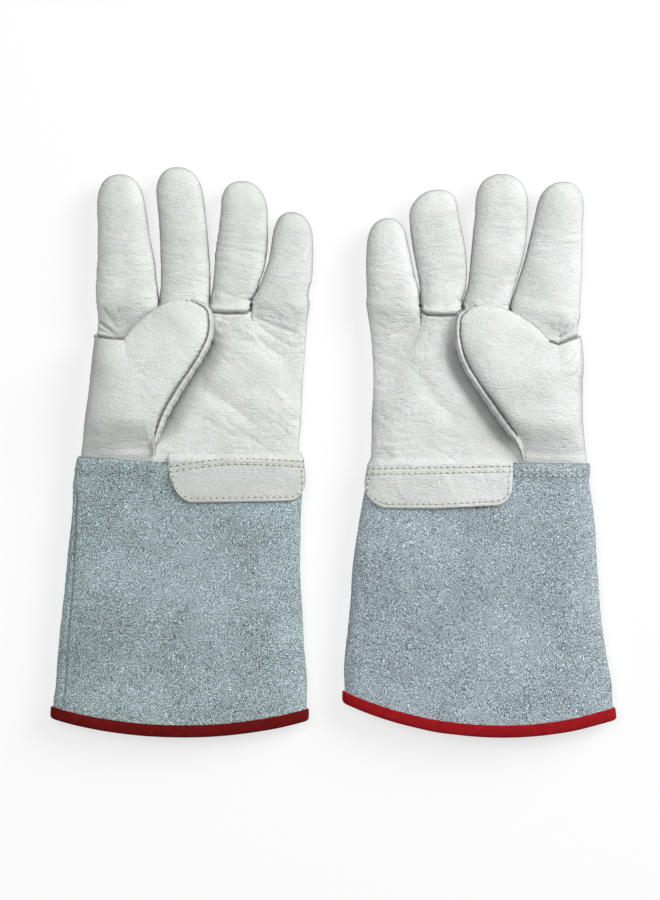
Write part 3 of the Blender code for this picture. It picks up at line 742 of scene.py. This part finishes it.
def seam_pinch(angles, depth=0.7, reach=0.22):
    """Groove along a side seam, for a half tube's columns."""
    from_seam = np.minimum(np.abs(angles), math.pi - np.abs(angles))
    return -depth * np.exp(-(from_seam / reach) ** 2)


# ---------------------------------------------------------------- materials

def node(tree, kind, inputs=None, **settings):
    made = tree.nodes.new(kind)
    for key, value in settings.items():
        setattr(made, key, value)
    for key, value in (inputs or {}).items():
        if isinstance(value, bpy.types.NodeSocket):
            tree.links.new(value, made.inputs[key])
        else:
            made.inputs[key].default_value = value
    return made


def new_material(name, **constants):
    made = bpy.data.materials.new(name)
    made.use_nodes = True
    shader = made.node_tree.nodes["Principled BSDF"]
    for key, value in constants.items():
        shader.inputs[key.replace("_", " ")].default_value = value
    return made, made.node_tree, shader


def kept(tree, name):
    """A value that the meshes keep: rest (place), cavity or edge."""
    made = node(tree, "ShaderNodeAttribute", attribute_name=name)
    return made.outputs["Vector" if name == "rest" else "Fac"]


def field(tree, place, scale, detail=2.0, roughness=0.5, stretch=None):
    """Noise over the flat glove, with scale in features a millimetre."""
    if stretch:
        place = node(tree, "ShaderNodeMapping", {"Vector": place, "Scale": stretch}).outputs["Vector"]
    return node(tree, "ShaderNodeTexNoise", {"Vector": place, "Scale": scale, "Detail": detail,
                                             "Roughness": roughness}).outputs["Fac"]


def shifted(tree, place):
    """The same place, shifted, for a second random field."""
    return node(tree, "ShaderNodeMapping", {"Vector": place, "Location": (71.0, 33.0, 19.0)}
                ).outputs["Vector"]


def ramp(tree, value, low, high):
    limits = {"Value": value, "From Min": low, "From Max": high}
    return node(tree, "ShaderNodeMapRange", limits).outputs["Result"]


def mix(tree, share, first, second):
    made = node(tree, "ShaderNodeMix", data_type="RGBA")
    for key, value in ((0, share), (6, first), (7, second)):
        if isinstance(value, bpy.types.NodeSocket):
            tree.links.new(value, made.inputs[key])
        else:
            made.inputs[key].default_value = value
    return made.outputs[2]


def shade(colour, factor):
    return (*[channel * factor for channel in colour], 1.0)


def wrinkle_web(tree, place, scale, stretch, sharpness):
    """1 on open leather and 0 in hairline creases."""
    value = field(tree, place, scale, 2.0, 0.55, stretch)
    away = node(tree, "ShaderNodeMath", {0: value, 1: 0.5}, operation="SUBTRACT").outputs[0]
    away = node(tree, "ShaderNodeMath", {0: away}, operation="ABSOLUTE").outputs[0]
    return ramp(tree, away, 0.0, sharpness)


def edge_shade(tree, colour, tint, amount):
    """Painted shade: darkens a finish toward the tint on the steep sides of a glove that lies flat."""
    steep = ramp(tree, kept(tree, "edge"), 0.2, 0.9)
    share = node(tree, "ShaderNodeMath", {0: steep, 1: amount}, operation="MULTIPLY").outputs[0]
    return mix(tree, share, colour, tint)


def bump(tree, height, distance, strength=1.0, under=None, invert=False):
    inputs = {"Height": height, "Strength": strength, "Distance": distance}
    if under is not None:
        inputs["Normal"] = under
    return node(tree, "ShaderNodeBump", inputs, invert=invert).outputs["Normal"]


def connect(tree, shader, colour, normal):
    tree.links.new(colour, shader.inputs["Base Color"])
    tree.links.new(normal, shader.inputs["Normal"])


def leather_material(glove):
    made, tree, shader = new_material(f"{glove.name}_leather", Roughness=0.55, Specular_IOR_Level=0.4)
    place = kept(tree, "rest")
    base = glove.leather
    colour = mix(tree, ramp(tree, field(tree, place, 0.04, 3.0), 0.35, 0.65),
                 (base[0] * 0.90, base[1] * 0.925, base[2] * 0.90, 1.0), shade(base, 1.04))
    mottle = ramp(tree, field(tree, place, 0.9, 3.0, 0.7), 0.38, 0.62)
    colour = mix(tree, mottle, mix(tree, 0.09, colour, shade(base, 0.35)), colour)
    slack = ramp(tree, field(tree, place, 0.07, 2.0), 0.42, 0.62)
    web = wrinkle_web(tree, place, 0.5, (0.22, 1.0, 0.5), 0.06)
    lines = mix(tree, slack, web, (1.0, 1.0, 1.0, 1.0))
    # Painted shade: darker along the hairline creases of the web.
    colour = mix(tree, lines, mix(tree, 0.07, colour, shade(base, 0.3)), colour)
    # Darker by the cavity value: painted shade in creases and seams, painted shadow under the thumb's edge,
    # and the left patch's own darker tone.
    colour = mix(tree, ramp(tree, kept(tree, "cavity"), 0.1, 1.0), colour, shade(base, 0.22))
    colour = edge_shade(tree, colour, shade(base, 0.16), 0.88)
    grain = node(tree, "ShaderNodeTexVoronoi", {"Vector": place, "Scale": 0.95, "Smoothness": 0.5},
                 feature="SMOOTH_F1").outputs["Distance"]
    normal = bump(tree, grain, 0.00035, 0.7, invert=True)
    normal = bump(tree, field(tree, place, 1.6, 4.0, 0.75), 0.00035, 0.8, normal)
    normal = bump(tree, field(tree, place, 0.9, 3.0, 0.6, (0.35, 1.0, 0.6)), 0.0005, 0.7, normal)
    connect(tree, shader, colour, bump(tree, lines, 0.00016, 0.8, normal))
    return made


def suede_material(glove):
    made, tree, shader = new_material(f"{glove.name}_suede", Roughness=0.95, Specular_IOR_Level=0.1,
                                      Sheen_Weight=0.15, Sheen_Roughness=0.6)
    place = kept(tree, "rest")
    base = glove.suede
    cloud = ramp(tree, field(tree, place, 0.03, 4.0, 0.5), 0.38, 0.62)
    colour = mix(tree, cloud, shade(base, 0.62), shade(base, 1.38))
    patchy = ramp(tree, field(tree, place, 0.20, 3.0, 0.6), 0.38, 0.62)
    colour = mix(tree, patchy, mix(tree, 0.22, colour, shade(base, 0.5)), colour)
    light = ramp(tree, field(tree, place, 2.7, 0.0, 0.9), 0.46, 0.58)
    dark = ramp(tree, field(tree, shifted(tree, place), 2.8, 0.0, 0.9), 0.44, 0.57)
    colour = mix(tree, light, colour, shade(base, 3.1))
    colour = mix(tree, dark, colour, shade(base, 0.16))
    # Darker by the cavity value: painted shade in the crease beside the side seam.
    colour = mix(tree, ramp(tree, kept(tree, "cavity"), 0.15, 1.0), colour, shade(base, 0.35))
    colour = edge_shade(tree, colour, shade(base, 0.28), 0.75)
    connect(tree, shader, colour, bump(tree, field(tree, place, 1.2, 4.0, 0.8), 0.0007, 0.9))
    return made


def tape_material(glove):
    made, tree, shader = new_material(f"{glove.name}_tape", Roughness=0.85, Specular_IOR_Level=0.12)
    place = kept(tree, "rest")
    ribs = node(tree, "ShaderNodeTexWave", {"Vector": place, "Scale": 0.42, "Distortion": 1.2,
                                            "Detail": 2.0, "Detail Scale": 1.5},
                bands_direction="X").outputs["Fac"]
    colour = mix(tree, ribs, shade(glove.tape, 0.75), shade(glove.tape, 1.3))
    worn = ramp(tree, field(tree, place, 0.2, 3.0), 0.4, 0.7)
    colour = mix(tree, worn, colour, shade(glove.tape, 1.35))
    connect(tree, shader, colour, bump(tree, ribs, 0.0003, 0.8))
    return made


def fleece_material():
    made, tree, shader = new_material("fleece", Roughness=1.0, Sheen_Weight=0.3)
    place = kept(tree, "rest")
    tuft = field(tree, place, 1.3, 4.0, 0.8)
    colour = mix(tree, ramp(tree, tuft, 0.3, 0.7), (0.42, 0.40, 0.34, 1.0), (0.66, 0.63, 0.55, 1.0))
    connect(tree, shader, colour, bump(tree, tuft, 0.0008))
    return made


def thread_material(name, colour):
    made, tree, shader = new_material(name, Roughness=0.75, Specular_IOR_Level=0.3)
    place = kept(tree, "rest")
    twist = node(tree, "ShaderNodeTexWave", {"Vector": place, "Scale": 1.6, "Distortion": 0.6},
                 bands_direction="DIAGONAL").outputs["Fac"]
    tint = mix(tree, twist, shade(colour, 0.78), shade(colour, 1.15))
    connect(tree, shader, tint, bump(tree, twist, 0.0001, 0.5))
    return made


# ---------------------------------------------------------------- pieces

def keep(piece, body, slot, *nodes):
    """Say what a piece rides on and hide the CAD nodes that it stands for. The slot, its finish, is not
    used.
    """
    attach(piece, body)
    if nodes:
        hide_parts(*nodes)


def blend_digit(piece, glove, digit, start, end, slot, *nodes):
    """Bake a piece's transform and hide the CAD nodes that it stands for. The finger or thumb and the two
    places are not used.
    """
    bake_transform(piece)
    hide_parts(*nodes)


def finger_bend(glove, index):
    """World places where a finger's bend starts and ends: its hinge line, and further along."""
    near, far = hinge_ends(glove, index)
    centre = (near + far) / 2
    across = (far - near) / np.linalg.norm(far - near)
    onward = np.array([across[1], -across[0]])
    start = np.array([*centre, FINGER_MID])
    end = np.array([*(centre + onward * FINGER_BEND), FINGER_MID])
    return tuple(world(glove, start)), tuple(world(glove, end))


def thumb_bend(glove):
    """World places where the thumb's bend starts and ends: its fold, and further in."""
    low, high = np.array(glove.fold, float)
    along = (high - low) / np.linalg.norm(high - low)
    inward = np.array([-along[1], along[0]])
    if inward[0] > 0:
        inward = -inward
    centre = (low + high) / 2
    return (tuple(world(glove, np.array([*centre, THUMB_HINGE]))),
            tuple(world(glove, np.array([*(centre + inward * THUMB_BEND), THUMB_HINGE]))))


def build_fingers(glove, leather, fleece, rims):
    for index, finger in enumerate(glove.fingers):
        start, end = finger_bend(glove, index)
        for part, upward in (("front", True), ("back", False)):
            angles = half_angles(upward, FINGER_COLUMNS)
            grid = finger_half(glove, index, angles)
            root = smoothstep(0.0, 14.0, grid[..., 1] - grid[0, :, 1])
            hand = leather_relief(grid, glove) if upward else back_relief(grid, glove)
            relief = finger_relief(grid, glove, index) * (1.0 if upward else 0.6)
            tip = smoothstep(0.0, 5.0, finger.tip[0] - grid[..., 1])
            outer_side = np.abs(angles) < 1.5 if index == 0 else (np.abs(angles) > 1.6) & (index == 3)
            relief = (hand + (relief - hand) * root) * tip
            relief += seam_pinch(angles)[None, :] * np.maximum(root, outer_side)
            relief[-1] = relief[-1].mean()
            # Painted shade in the creases and seams.
            cavity = crease_painted_shade(grid, glove) if upward else None
            name = f"{glove.name}_{finger.name}_{part}"
            columns = slice(index * FINGER_COLUMNS, (index + 1) * FINGER_COLUMNS)
            rim = [row[columns] for row in rims[upward]]
            piece, _, _ = ply(glove, f"{name}_leather", grid, LEATHER, leather, upward, relief, cavity,
                              pins=[(0, rim)])
            blend_digit(piece, glove, finger.name, start, end, "leather", name)
        around = np.linspace(0.0, 2 * math.pi, 2 * FINGER_COLUMNS, endpoint=False)
        outer, inner = [finger_half(glove, index, around, inset, FINGER_LINING_ROWS)
                        for inset in (FINGER_LINING, FINGER_LINING + FLEECE)]
        name = f"{glove.name}_{finger.name}"
        lining = shell_object(glove, f"{name}_fleece", outer, inner, fleece, loop=True)
        blend_digit(lining, glove, finger.name, start, end, "lining", f"{name}_lining")


def build_hand(glove, leather, fleece):
    """Palm, back and lining of the hand. Gives back the rims that the fingers join."""
    body = f"{glove.name}_glove"
    rims = {}
    for part, upward in (("palm", True), ("back", False)):
        grid = hand_half(glove, upward)
        angles = half_angles(upward, grid.shape[1])
        relief = leather_relief(grid, glove) if upward else back_relief(grid, glove)
        cavity = None
        if upward:
            relief += valley_relief(grid, glove)
            # Painted shade in the creases and seams, and a painted shadow along the palm where it runs in
            # under the thumb.
            cavity = np.maximum(crease_painted_shade(grid, glove), valley_painted_shadow(grid, glove))
        relief += seam_pinch(angles, reach=0.07)[None, :]
        name = f"{glove.name}_{part}_panel"
        piece, outer, inner = ply(glove, f"{name}_leather", grid, LEATHER, leather, upward, relief, cavity)
        keep(piece, body, "leather", name)
        rims[upward] = (outer[-1], inner[-1])
    loops = []
    for inset in (HAND_LINING, HAND_LINING + FLEECE):
        front, back = hand_half(glove, True, inset)[::5], hand_half(glove, False, inset)[::5]
        front[..., 2] += valley_relief(front, glove)
        loops.append(np.concatenate([front, back[:, ::-1][:, 1:-1]], axis=1))
    lining = shell_object(glove, f"{glove.name}_hand_fleece", *loops, fleece, loop=True)
    keep(lining, body, "lining", f"{glove.name}_hand_lining")
    return rims


def build_thumb(glove, leather, fleece):
    """The thumb's two faces, welt and lining, and the panel beside it."""
    start, end = thumb_bend(glove)
    outer = thumb_outer_grid(glove)
    outer_relief = thumb_relief(outer, glove)
    piece, thumb, thumb_in = ply(glove, f"{glove.name}_thumb_outer_leather", outer, LEATHER, leather,
                                 True, outer_relief)
    blend_digit(piece, glove, "thumb", start, end, "leather", f"{glove.name}_thumb_outer")
    grid = thenar_grid(glove)
    relief = 0.7 * leather_relief(grid, glove, 0.8)
    # Painted shade in the creases and seams.
    cavity = crease_painted_shade(grid, glove)
    across = np.linspace(0.0, 1.0, THENAR_COLUMNS)[None, :]
    relief = relief + (outer_relief[:, :1] - relief) * smoothstep(0.5, 1.0, across)
    relief = relief + seam_pinch(np.linspace(0, math.pi / 2, THENAR_COLUMNS), 0.6, 0.12)[None, :]
    piece, _, _ = ply(glove, f"{glove.name}_thenar_leather", grid, LEATHER, leather, True, relief, cavity,
                      pins=[((slice(8, None), -1), (thumb[8:, 0], thumb_in[8:, 0]))])
    keep(piece, f"{glove.name}_glove", "leather", f"{glove.name}_thenar_panel")
    inner = thumb_inner_grid(glove)
    piece, _, _ = ply(glove, f"{glove.name}_thumb_inner_leather", inner, THIN_LEATHER, leather,
                      False, 0.3 * noise(inner, (12, 12, 12), glove.seed + 50))
    blend_digit(piece, glove, "thumb", start, end, "leather", f"{glove.name}_thumb_inner")
    build_welt(glove, leather, start, end)
    inner = outer[6:-8, :-8] - np.array([0, 0, THUMB_LINING])
    lining, _, _ = ply(glove, f"{glove.name}_thumb_fleece", inner, FLEECE, fleece, True)
    blend_digit(lining, glove, "thumb", start, end, "lining", f"{glove.name}_thumb_lining")


def thumb_relief(points, glove):
    """The thumb is smooth, with puckers along its seam."""
    relief = layers(points, glove.seed, (0.40, (24, 20, 30), 30), (0.14, (9, 8, 20), 31),
                    (0.08, (2.4, 2.4, 5), 32))
    relief += 0.10 * crease_lines(turned(points, -30.0), (12.0, 3.6, 20.0), glove.seed + 33)
    seam = points[:, -1, :2]
    run = running_length(seam)
    gap = np.linalg.norm(points[..., :2] - seam[:, None], axis=-1)
    puckers = np.sin(2 * math.pi * run / STITCH_PITCH)[:, None] + 0.6 * np.sin(2.1 * run)[:, None]
    fade = (1 - smoothstep(0.94, 0.99, thumb_shares()))[:, None] * np.exp(-gap / 4.0)
    return relief * smoothstep(0.0, 3.0, gap) + 0.16 * puckers * fade


def build_welt(glove, leather, start, end):
    """The strip that stands out from the thumb's seam: a rolled edge with small puckers."""
    shares = np.linspace(0.0, 0.972, 170)
    seam = seam_path(glove, shares)
    heading = np.gradient(seam, axis=0)
    heading /= np.linalg.norm(heading, axis=1, keepdims=True)
    outward = np.stack([-heading[:, 1], heading[:, 0]], axis=-1)
    outward = np.where(outward[:, :1] > 0, -outward, outward)
    width = spline(shares, glove.welt, 1)
    run = running_length(seam)
    width = width + 0.08 * np.sin(2 * math.pi * run / STITCH_PITCH) + 0.16 * np.sin(0.7 * run)
    v = np.linspace(0.0, 1.0, 14)
    crown = np.sin(np.clip(v * 1.15, 0, 1) * math.pi) ** 0.6
    grid = np.empty((len(shares), len(v), 3))
    grid[..., :2] = seam[:, None] + outward[:, None] * (0.35 + width[:, None] * v[None, :])[..., None]
    foot = smoothstep(0.0, 0.12, shares)
    grid[..., 2] = (WELT_FOOT + (THUMB_SEAM - WELT_FOOT) * foot)[:, None] - 0.9 * v ** 2 + 2.3 * crown
    relief = 0.07 * np.sin(2 * math.pi * run / STITCH_PITCH)[:, None] * np.ones_like(v)
    relief += 0.3 * noise(grid, (9, 9, 9), glove.seed + 55)
    piece, _, _ = ply(glove, f"{glove.name}_thumb_welt_leather", grid, WELT_LEATHER, leather, True,
                      relief)
    blend_digit(piece, glove, "thumb", start, end, "leather", f"{glove.name}_thumb_welt")


def cuff_sides(glove, along):
    """p of the cuff's two sides at heights y along the glove."""
    share = np.clip((glove.wrist - along) / (glove.wrist - glove.hem[0]), 0, 1)
    return spline(share, glove.cuff, 1), spline(share, glove.cuff, 2)


def cuff_lip(shares):
    """1 on the cuff's top edge, where it lies over the hand, and 0 below."""
    return 1.0 - smoothstep(0.02, 0.10, shares)


def build_cuff(glove, suede, fleece, tape):
    """Both faces of the cuff. Its top edge lies over the hand's leather, but under the patch."""
    body = f"{glove.name}_glove"
    seam = [(glove.cuff[row][1] - inward, y)
            for row, inward, y in ((1, 2.0, -25.0), (3, 4.0, -75.0), (6, 6.2, -156.0))]
    shares = np.linspace(0.0, 1.0, CUFF_ROWS)[:, None]
    for part, upward in (("cuff_front", True), ("cuff_back", False)):
        angles = half_angles(upward, CUFF_COLUMNS)
        grid = cuff_half(glove, angles, shares[:, 0])
        relief = layers(grid, glove.seed, (1.5, (44, 50, 60), 70), (0.7, (15, 24, 30), 71),
                        (0.7 * shares ** 2, (11, 36, 30), 73), (0.16, (2.4, 2.6, 4), 72))
        relief -= 0.55 * np.exp(-((grid[..., 1] - glove.wrist + 10.5) / 2.6) ** 2)
        relief *= 1.0 - 0.85 * smoothstep(0.90, 0.97, shares)
        relief += seam_pinch(angles, 0.8, 0.07)
        over = smoothstep(glove.patch.thumb_p - 4.0, glove.patch.thumb_p + 1.0, grid[..., 0])
        lip = np.sqrt(np.clip(shares / 0.012, 0.05, 1.0))
        top = cuff_lip(shares)
        facing = smoothstep(0.0, 0.25, np.abs(np.sin(angles)))[None, :]
        relief = relief * (1 - top) + top * (over * CUFF_LIFT * lip * facing - (1.0 - over))
        crease = 0.0 * relief
        if upward:
            crease = -glove.cuff_crease * np.exp(-(path_distance(grid, seam)[0] / 0.8) ** 2)
        # The crease beside the side seam also gets painted shade, through its cavity value.
        piece, _, _ = ply(glove, f"{glove.name}_{part}_suede", grid, SUEDE, suede, upward, relief + crease,
                          deep_parts(crease))
        keep(piece, body, "suede", f"{glove.name}_{part}")
    around = np.linspace(0.0, 2 * math.pi, CUFF_COLUMNS, endpoint=False)
    outer, inner = [cuff_half(glove, around, np.linspace(0.0, 1.0, CUFF_LINING_ROWS), inset)
                    for inset in (CUFF_LINING, CUFF_LINING + FLEECE)]
    lining = shell_object(glove, f"{glove.name}_cuff_fleece", outer, inner, fleece, loop=True)
    keep(lining, body, "lining", f"{glove.name}_cuff_lining")
    build_binding(glove, tape)


def build_binding(glove, tape):
    """Tape folded over the hem: out of the mouth, round the edge and back inside."""
    around = np.linspace(0.0, 2 * math.pi, BINDING_COLUMNS, endpoint=False)
    hem = cuff_half(glove, around, np.array([0.98, 1.0]))
    onward = hem[1] - hem[0]
    onward = onward / np.linalg.norm(onward, axis=1, keepdims=True)
    profile = [(-1.2, 0.3), (-0.8, 1.0), (0.6, 1.15), (3.0, 1.2), (5.0, 1.1), (6.0, 0.5), (6.4, -0.8),
               (6.3, -2.2), (5.6, -3.3), (3.0, -3.6), (0.0, -3.6)]
    wobble = 0.25 * noise(hem[1], (14, 14, 14), glove.seed + 80)

    def ring(along, proud, lowest):
        places = cuff_half(glove, around, np.array([1.0]), -proud)[0]
        places = places + onward * (along + wobble)[:, None]
        places[:, 2] = np.maximum(places[:, 2], lowest)
        return places

    outside, inside = [], []
    for along, proud in profile:
        outside.append(ring(along, proud, 0.1))
        pull = proud - 0.8 if along < 5.5 and proud > 0 else proud + (0.8 if proud < -3 else 0.0)
        inside.append(ring(min(along, 5.4), pull, 0.7))
    piece = shell_object(glove, f"{glove.name}_hem_tape", np.array(outside), np.array(inside), tape,
                         loop=True)
    keep(piece, f"{glove.name}_glove", "binding", f"{glove.name}_hem_binding")


def patch_low(glove, u):
    """Bottom edge of the wrist patch, with its two rounded corners."""
    patch = glove.patch
    low = np.interp(u, (0.0, 0.5, 1.0), patch.low)
    for end, (reach, rise) in ((u, patch.corners[:2]), (1.0 - u, patch.corners[2:])):
        inward = np.clip(1.0 - end / reach, 0.0, 1.0)
        low = low + (patch.top - low) * rise * (1.0 - np.sqrt(1.0 - inward ** 2))
    return low


def patch_row(glove, u):
    """The upper row of stitches across the patch."""
    return spline(u, tuple(zip((0.0, 0.4, 1.0), glove.patch.rows)))


def patch_place(glove, u, along):
    """Place on the wrist patch: u from its thumb-side end, and y along the glove."""
    thumb_side, little_side = cuff_sides(glove, along)
    centre, half = (thumb_side + little_side) / 2, (thumb_side - little_side) / 2
    start = (glove.patch.thumb_p - centre) / half
    reach = start + (-0.997 - start) * u
    angle = np.arccos(np.sign(reach) * np.abs(reach) ** (1 / TUBE_FULLNESS))
    laid = PATCH_LIFT * smoothstep(-0.5, 5.0, glove.patch.top - along)
    across, height = tube_point(thumb_side, little_side, angle, -laid)
    return np.stack([across, along, height + 0.2], axis=-1)


def build_patch(glove, leather, thread, hole_shade):
    """The tab of palm leather that laps the cuff, with its rows of stitches."""
    patch = glove.patch
    u, v = np.meshgrid(np.linspace(0.0, 1.0, 150), np.linspace(0.0, 1.0, 50), indexing="xy")
    low = patch_low(glove, u)
    along = patch.top + (low - patch.top) * v
    grid = patch_place(glove, u, along)
    row = patch_row(glove, u)
    edge = np.minimum(np.minimum(u, 1 - u) * PATCH_WIDTH, along - low)
    laid = smoothstep(1.0, 6.0, patch.top - along)
    groove = np.exp(-((along - row) / 0.9) ** 2) + np.exp(-((along - row + ROW_GAP) / 0.9) ** 2)
    relief = layers(grid, glove.seed, (0.25, (13, 9, 20), 90), (0.09, (2.0, 2.2, 4), 91)) - 0.28 * groove
    relief -= 0.6 * (1 - smoothstep(0.0, 1.0, edge)) + 0.22 * np.exp(-((edge - 2.6) / 0.9) ** 2)
    relief += 0.14 * crease_lines(turned(grid, 60.0), (9.0, 3.4, 20.0), glove.seed + 92)
    relief = leather_relief(grid, glove) * (1 - laid) + relief * laid
    piece, _, _ = ply(glove, f"{glove.name}_patch_leather", grid, PATCH_LEATHER, leather, True, relief,
                      patch.soil * laid)
    keep(piece, f"{glove.name}_glove", "leather", f"{glove.name}_wrist_patch")
    line = np.linspace(0.02, 0.985, 400)
    upper = patch_row(glove, line)
    turn = np.linspace(0.0, 1.0, 60)
    rim_u = np.concatenate([0.032 + 0 * turn, np.linspace(0.034, 0.966, 400), 0.968 + 0 * turn])
    rim_low = patch_low(glove, rim_u) + 2.7
    side_top = patch.rows[0] - 6.0, patch.rows[2] - 6.0
    rim_low[:60] = side_top[0] + (rim_low[60] - side_top[0]) * turn
    rim_low[-60:] = rim_low[-61] + (side_top[1] - rim_low[-61]) * turn
    for name, path in (("upper", patch_place(glove, line, upper)),
                       ("lower", patch_place(glove, line, upper - ROW_GAP)),
                       ("edge", patch_place(glove, rim_u, rim_low))):
        sew(glove, f"{glove.name}_patch_{name}", path, thread, hole_shade, "leather",
            f"{glove.name}_patch_thread_{name}")


def build_cuff_stitches(glove, thread, hole_shade):
    """Rows of stitches that hold the cuff to the hand, beside the patch."""
    p = np.linspace(glove.patch.thumb_p + 6.0, glove.cuff[0][1] - 4.0, 200)
    for index, y in enumerate(glove.cuff_stitches):
        thumb_side, little_side = cuff_sides(glove, np.full_like(p, y))
        reach = np.clip((2 * p - thumb_side - little_side) / (thumb_side - little_side), 0, 1)
        _, height = tube_point(thumb_side, little_side, np.arccos(reach ** (1 / TUBE_FULLNESS)), 0.0)
        edge = cuff_edge(glove, p)
        lift = CUFF_LIFT * cuff_lip((edge - y) / (edge - glove.hem[0]))
        path = np.stack([p, np.full_like(p, y), height + lift], axis=-1)
        sew(glove, f"{glove.name}_cuff_row_{index + 1}", path, thread, hole_shade, "suede")


def sew(glove, name, path, thread, hole_shade, slot, *nodes):
    """A row of stitches along a path on a finish, with dark bodies of painted shade at its needle holes."""
    path[:, 2] -= STITCH_SINK
    body = f"{glove.name}_glove"
    keep(stitches(glove, f"{name}_stitches", path, thread), body, "thread", *nodes)
    keep(stitch_holes(glove, f"{name}_holes", path, hole_shade), body, slot)


def even_points(path):
    """Points along a path, about STITCH_PITCH apart."""
    lengths = running_length(path)
    count = max(int(lengths[-1] / STITCH_PITCH), 1)
    at = np.linspace(0.0, lengths[-1], count + 1)
    return np.stack([np.interp(at, lengths, path[:, axis]) for axis in range(3)], axis=-1)


def add_prism(faces, base, rings, sides):
    """Faces of a closed tube: its rings of places start at base."""
    for row in range(rings - 1):
        for column in range(sides):
            after = (column + 1) % sides
            faces.append((base + row * sides + column, base + row * sides + after,
                          base + (row + 1) * sides + after, base + (row + 1) * sides + column))
    for row in (0, rings - 1):
        faces.append(tuple(base + row * sides + column for column in range(sides)))


def stitches(glove, name, path, material):
    """Separate stitches that dip into the leather at both ends."""
    ends = even_points(path)
    verts, faces = [], []
    t = np.linspace(0.0, 1.0, 9)
    ring = np.linspace(0.0, 2 * math.pi, 8, endpoint=False)
    for start, stop in zip(ends, ends[1:]):
        heading = (stop - start) / np.linalg.norm(stop - start)
        sideways = np.cross(heading, (0.0, 0.0, 1.0))
        sideways /= np.linalg.norm(sideways)
        upward = np.cross(sideways, heading)
        base = len(verts)
        for share in t:
            centre = start + (stop - start) * (0.14 + 0.72 * share)
            centre = centre + upward * (0.40 * math.sin(math.pi * share) ** 0.7 - 0.20)
            size = THREAD_RADIUS * (0.55 + 0.45 * math.sin(math.pi * share) ** 0.5)
            for angle in ring:
                verts.append(centre + size * (math.cos(angle) * sideways + math.sin(angle) * upward))
        add_prism(faces, base, len(t), len(ring))
    return polygon_object(glove, name, np.array(verts), faces, material)


def stitch_holes(glove, name, path, material):
    """Small dark bodies where the thread goes into the leather: painted shade in the needle holes."""
    verts, faces = [], []
    ring = np.linspace(0.0, 2 * math.pi, 7, endpoint=False)
    for point in even_points(path):
        add_prism(faces, len(verts), 2, len(ring))
        for height, radius in ((0.30, 0.46), (-0.35, 0.30)):
            for angle in ring:
                verts.append(point + np.array([radius * math.cos(angle), radius * math.sin(angle), height]))
    return polygon_object(glove, name, np.array(verts), faces, material)


def polygon_object(glove, name, local, faces, material):
    """A mesh of small closed bodies, for the stitches and their holes."""
    data = bpy.data.meshes.new(name)
    data.from_pydata(world(glove, local).tolist(), [], faces)
    store(data, "rest", local)
    mesh = bmesh.new()
    mesh.from_mesh(data)
    bmesh.ops.recalc_face_normals(mesh, faces=mesh.faces)
    mesh.to_mesh(data)
    mesh.free()
    data.shade_smooth()
    return link_piece(name, data, material)


# ---------------------------------------------------------------- studio

def build_studio():
    """Floor, even light from all round, two lamps and the camera."""
    build_floor()
    world_data = bpy.data.worlds.new("studio")
    world_data.use_nodes = True
    background = world_data.node_tree.nodes["Background"]
    background.inputs["Color"].default_value = (1.0, 1.0, 1.0, 1.0)
    background.inputs["Strength"].default_value = 0.16
    bpy.context.scene.world = world_data
    for name, place, size, power in (("key", (2.1, 1.3, 1.7), 1.9, 98.0),
                                     ("top", (-0.3, 0.3, 1.8), 0.8, 17.0)):
        data = bpy.data.lights.new(name, "AREA")
        data.energy = power
        data.size = size
        lamp = bpy.data.objects.new(name, data)
        lamp.location = place
        lamp.rotation_euler = (-Vector(place)).to_track_quat("-Z", "Y").to_euler()
        bpy.context.collection.objects.link(lamp)
    build_camera()
    bpy.context.scene.view_settings.view_transform = "Standard"


def build_floor():
    """A plain floor just under the gloves."""
    bpy.ops.mesh.primitive_plane_add(size=6.0, location=(0.0, 0.0, -0.0005))
    floor = bpy.context.object
    floor.name = "floor"
    made, _, _ = new_material("floor", Base_Color=(0.25, 0.25, 0.25, 1.0), Roughness=0.9,
                              Specular_IOR_Level=0.0, Emission_Color=(1.0, 1.0, 1.0, 1.0),
                              Emission_Strength=0.70)
    floor.data.materials.append(made)


def build_camera():
    """A camera that looks straight down."""
    data = bpy.data.cameras.new("camera")
    camera = bpy.data.objects.new("camera", data)
    camera.location = (-0.0018, 0.0012, CAMERA_HEIGHT)
    data.sensor_fit = "VERTICAL"
    data.sensor_height = SENSOR
    data.lens = SENSOR * (CAMERA_HEIGHT - FOCUS_HEIGHT) / VIEW_HEIGHT
    data.clip_end = 20.0
    bpy.context.collection.objects.link(camera)
    bpy.context.scene.camera = camera


def build_glove(glove, fleece, thread, hole_shade):
    leather = leather_material(glove)
    suede, tape = suede_material(glove), tape_material(glove)
    rims = build_hand(glove, leather, fleece)
    build_fingers(glove, leather, fleece, rims)
    build_thumb(glove, leather, fleece)
    build_cuff(glove, suede, fleece, tape)
    build_patch(glove, leather, thread, hole_shade)
    build_cuff_stitches(glove, thread, hole_shade)


def main():
    fleece = fleece_material()
    thread = thread_material("thread", (0.66, 0.63, 0.50))
    # The needle holes' dark finish is painted shade.
    hole_shade = thread_material("needle_hole_shade", (0.10, 0.10, 0.09))
    for glove in (LEFT, RIGHT):
        build_glove(glove, fleece, thread, hole_shade)
    build_studio()


main()
bpy.context.view_layer.update()
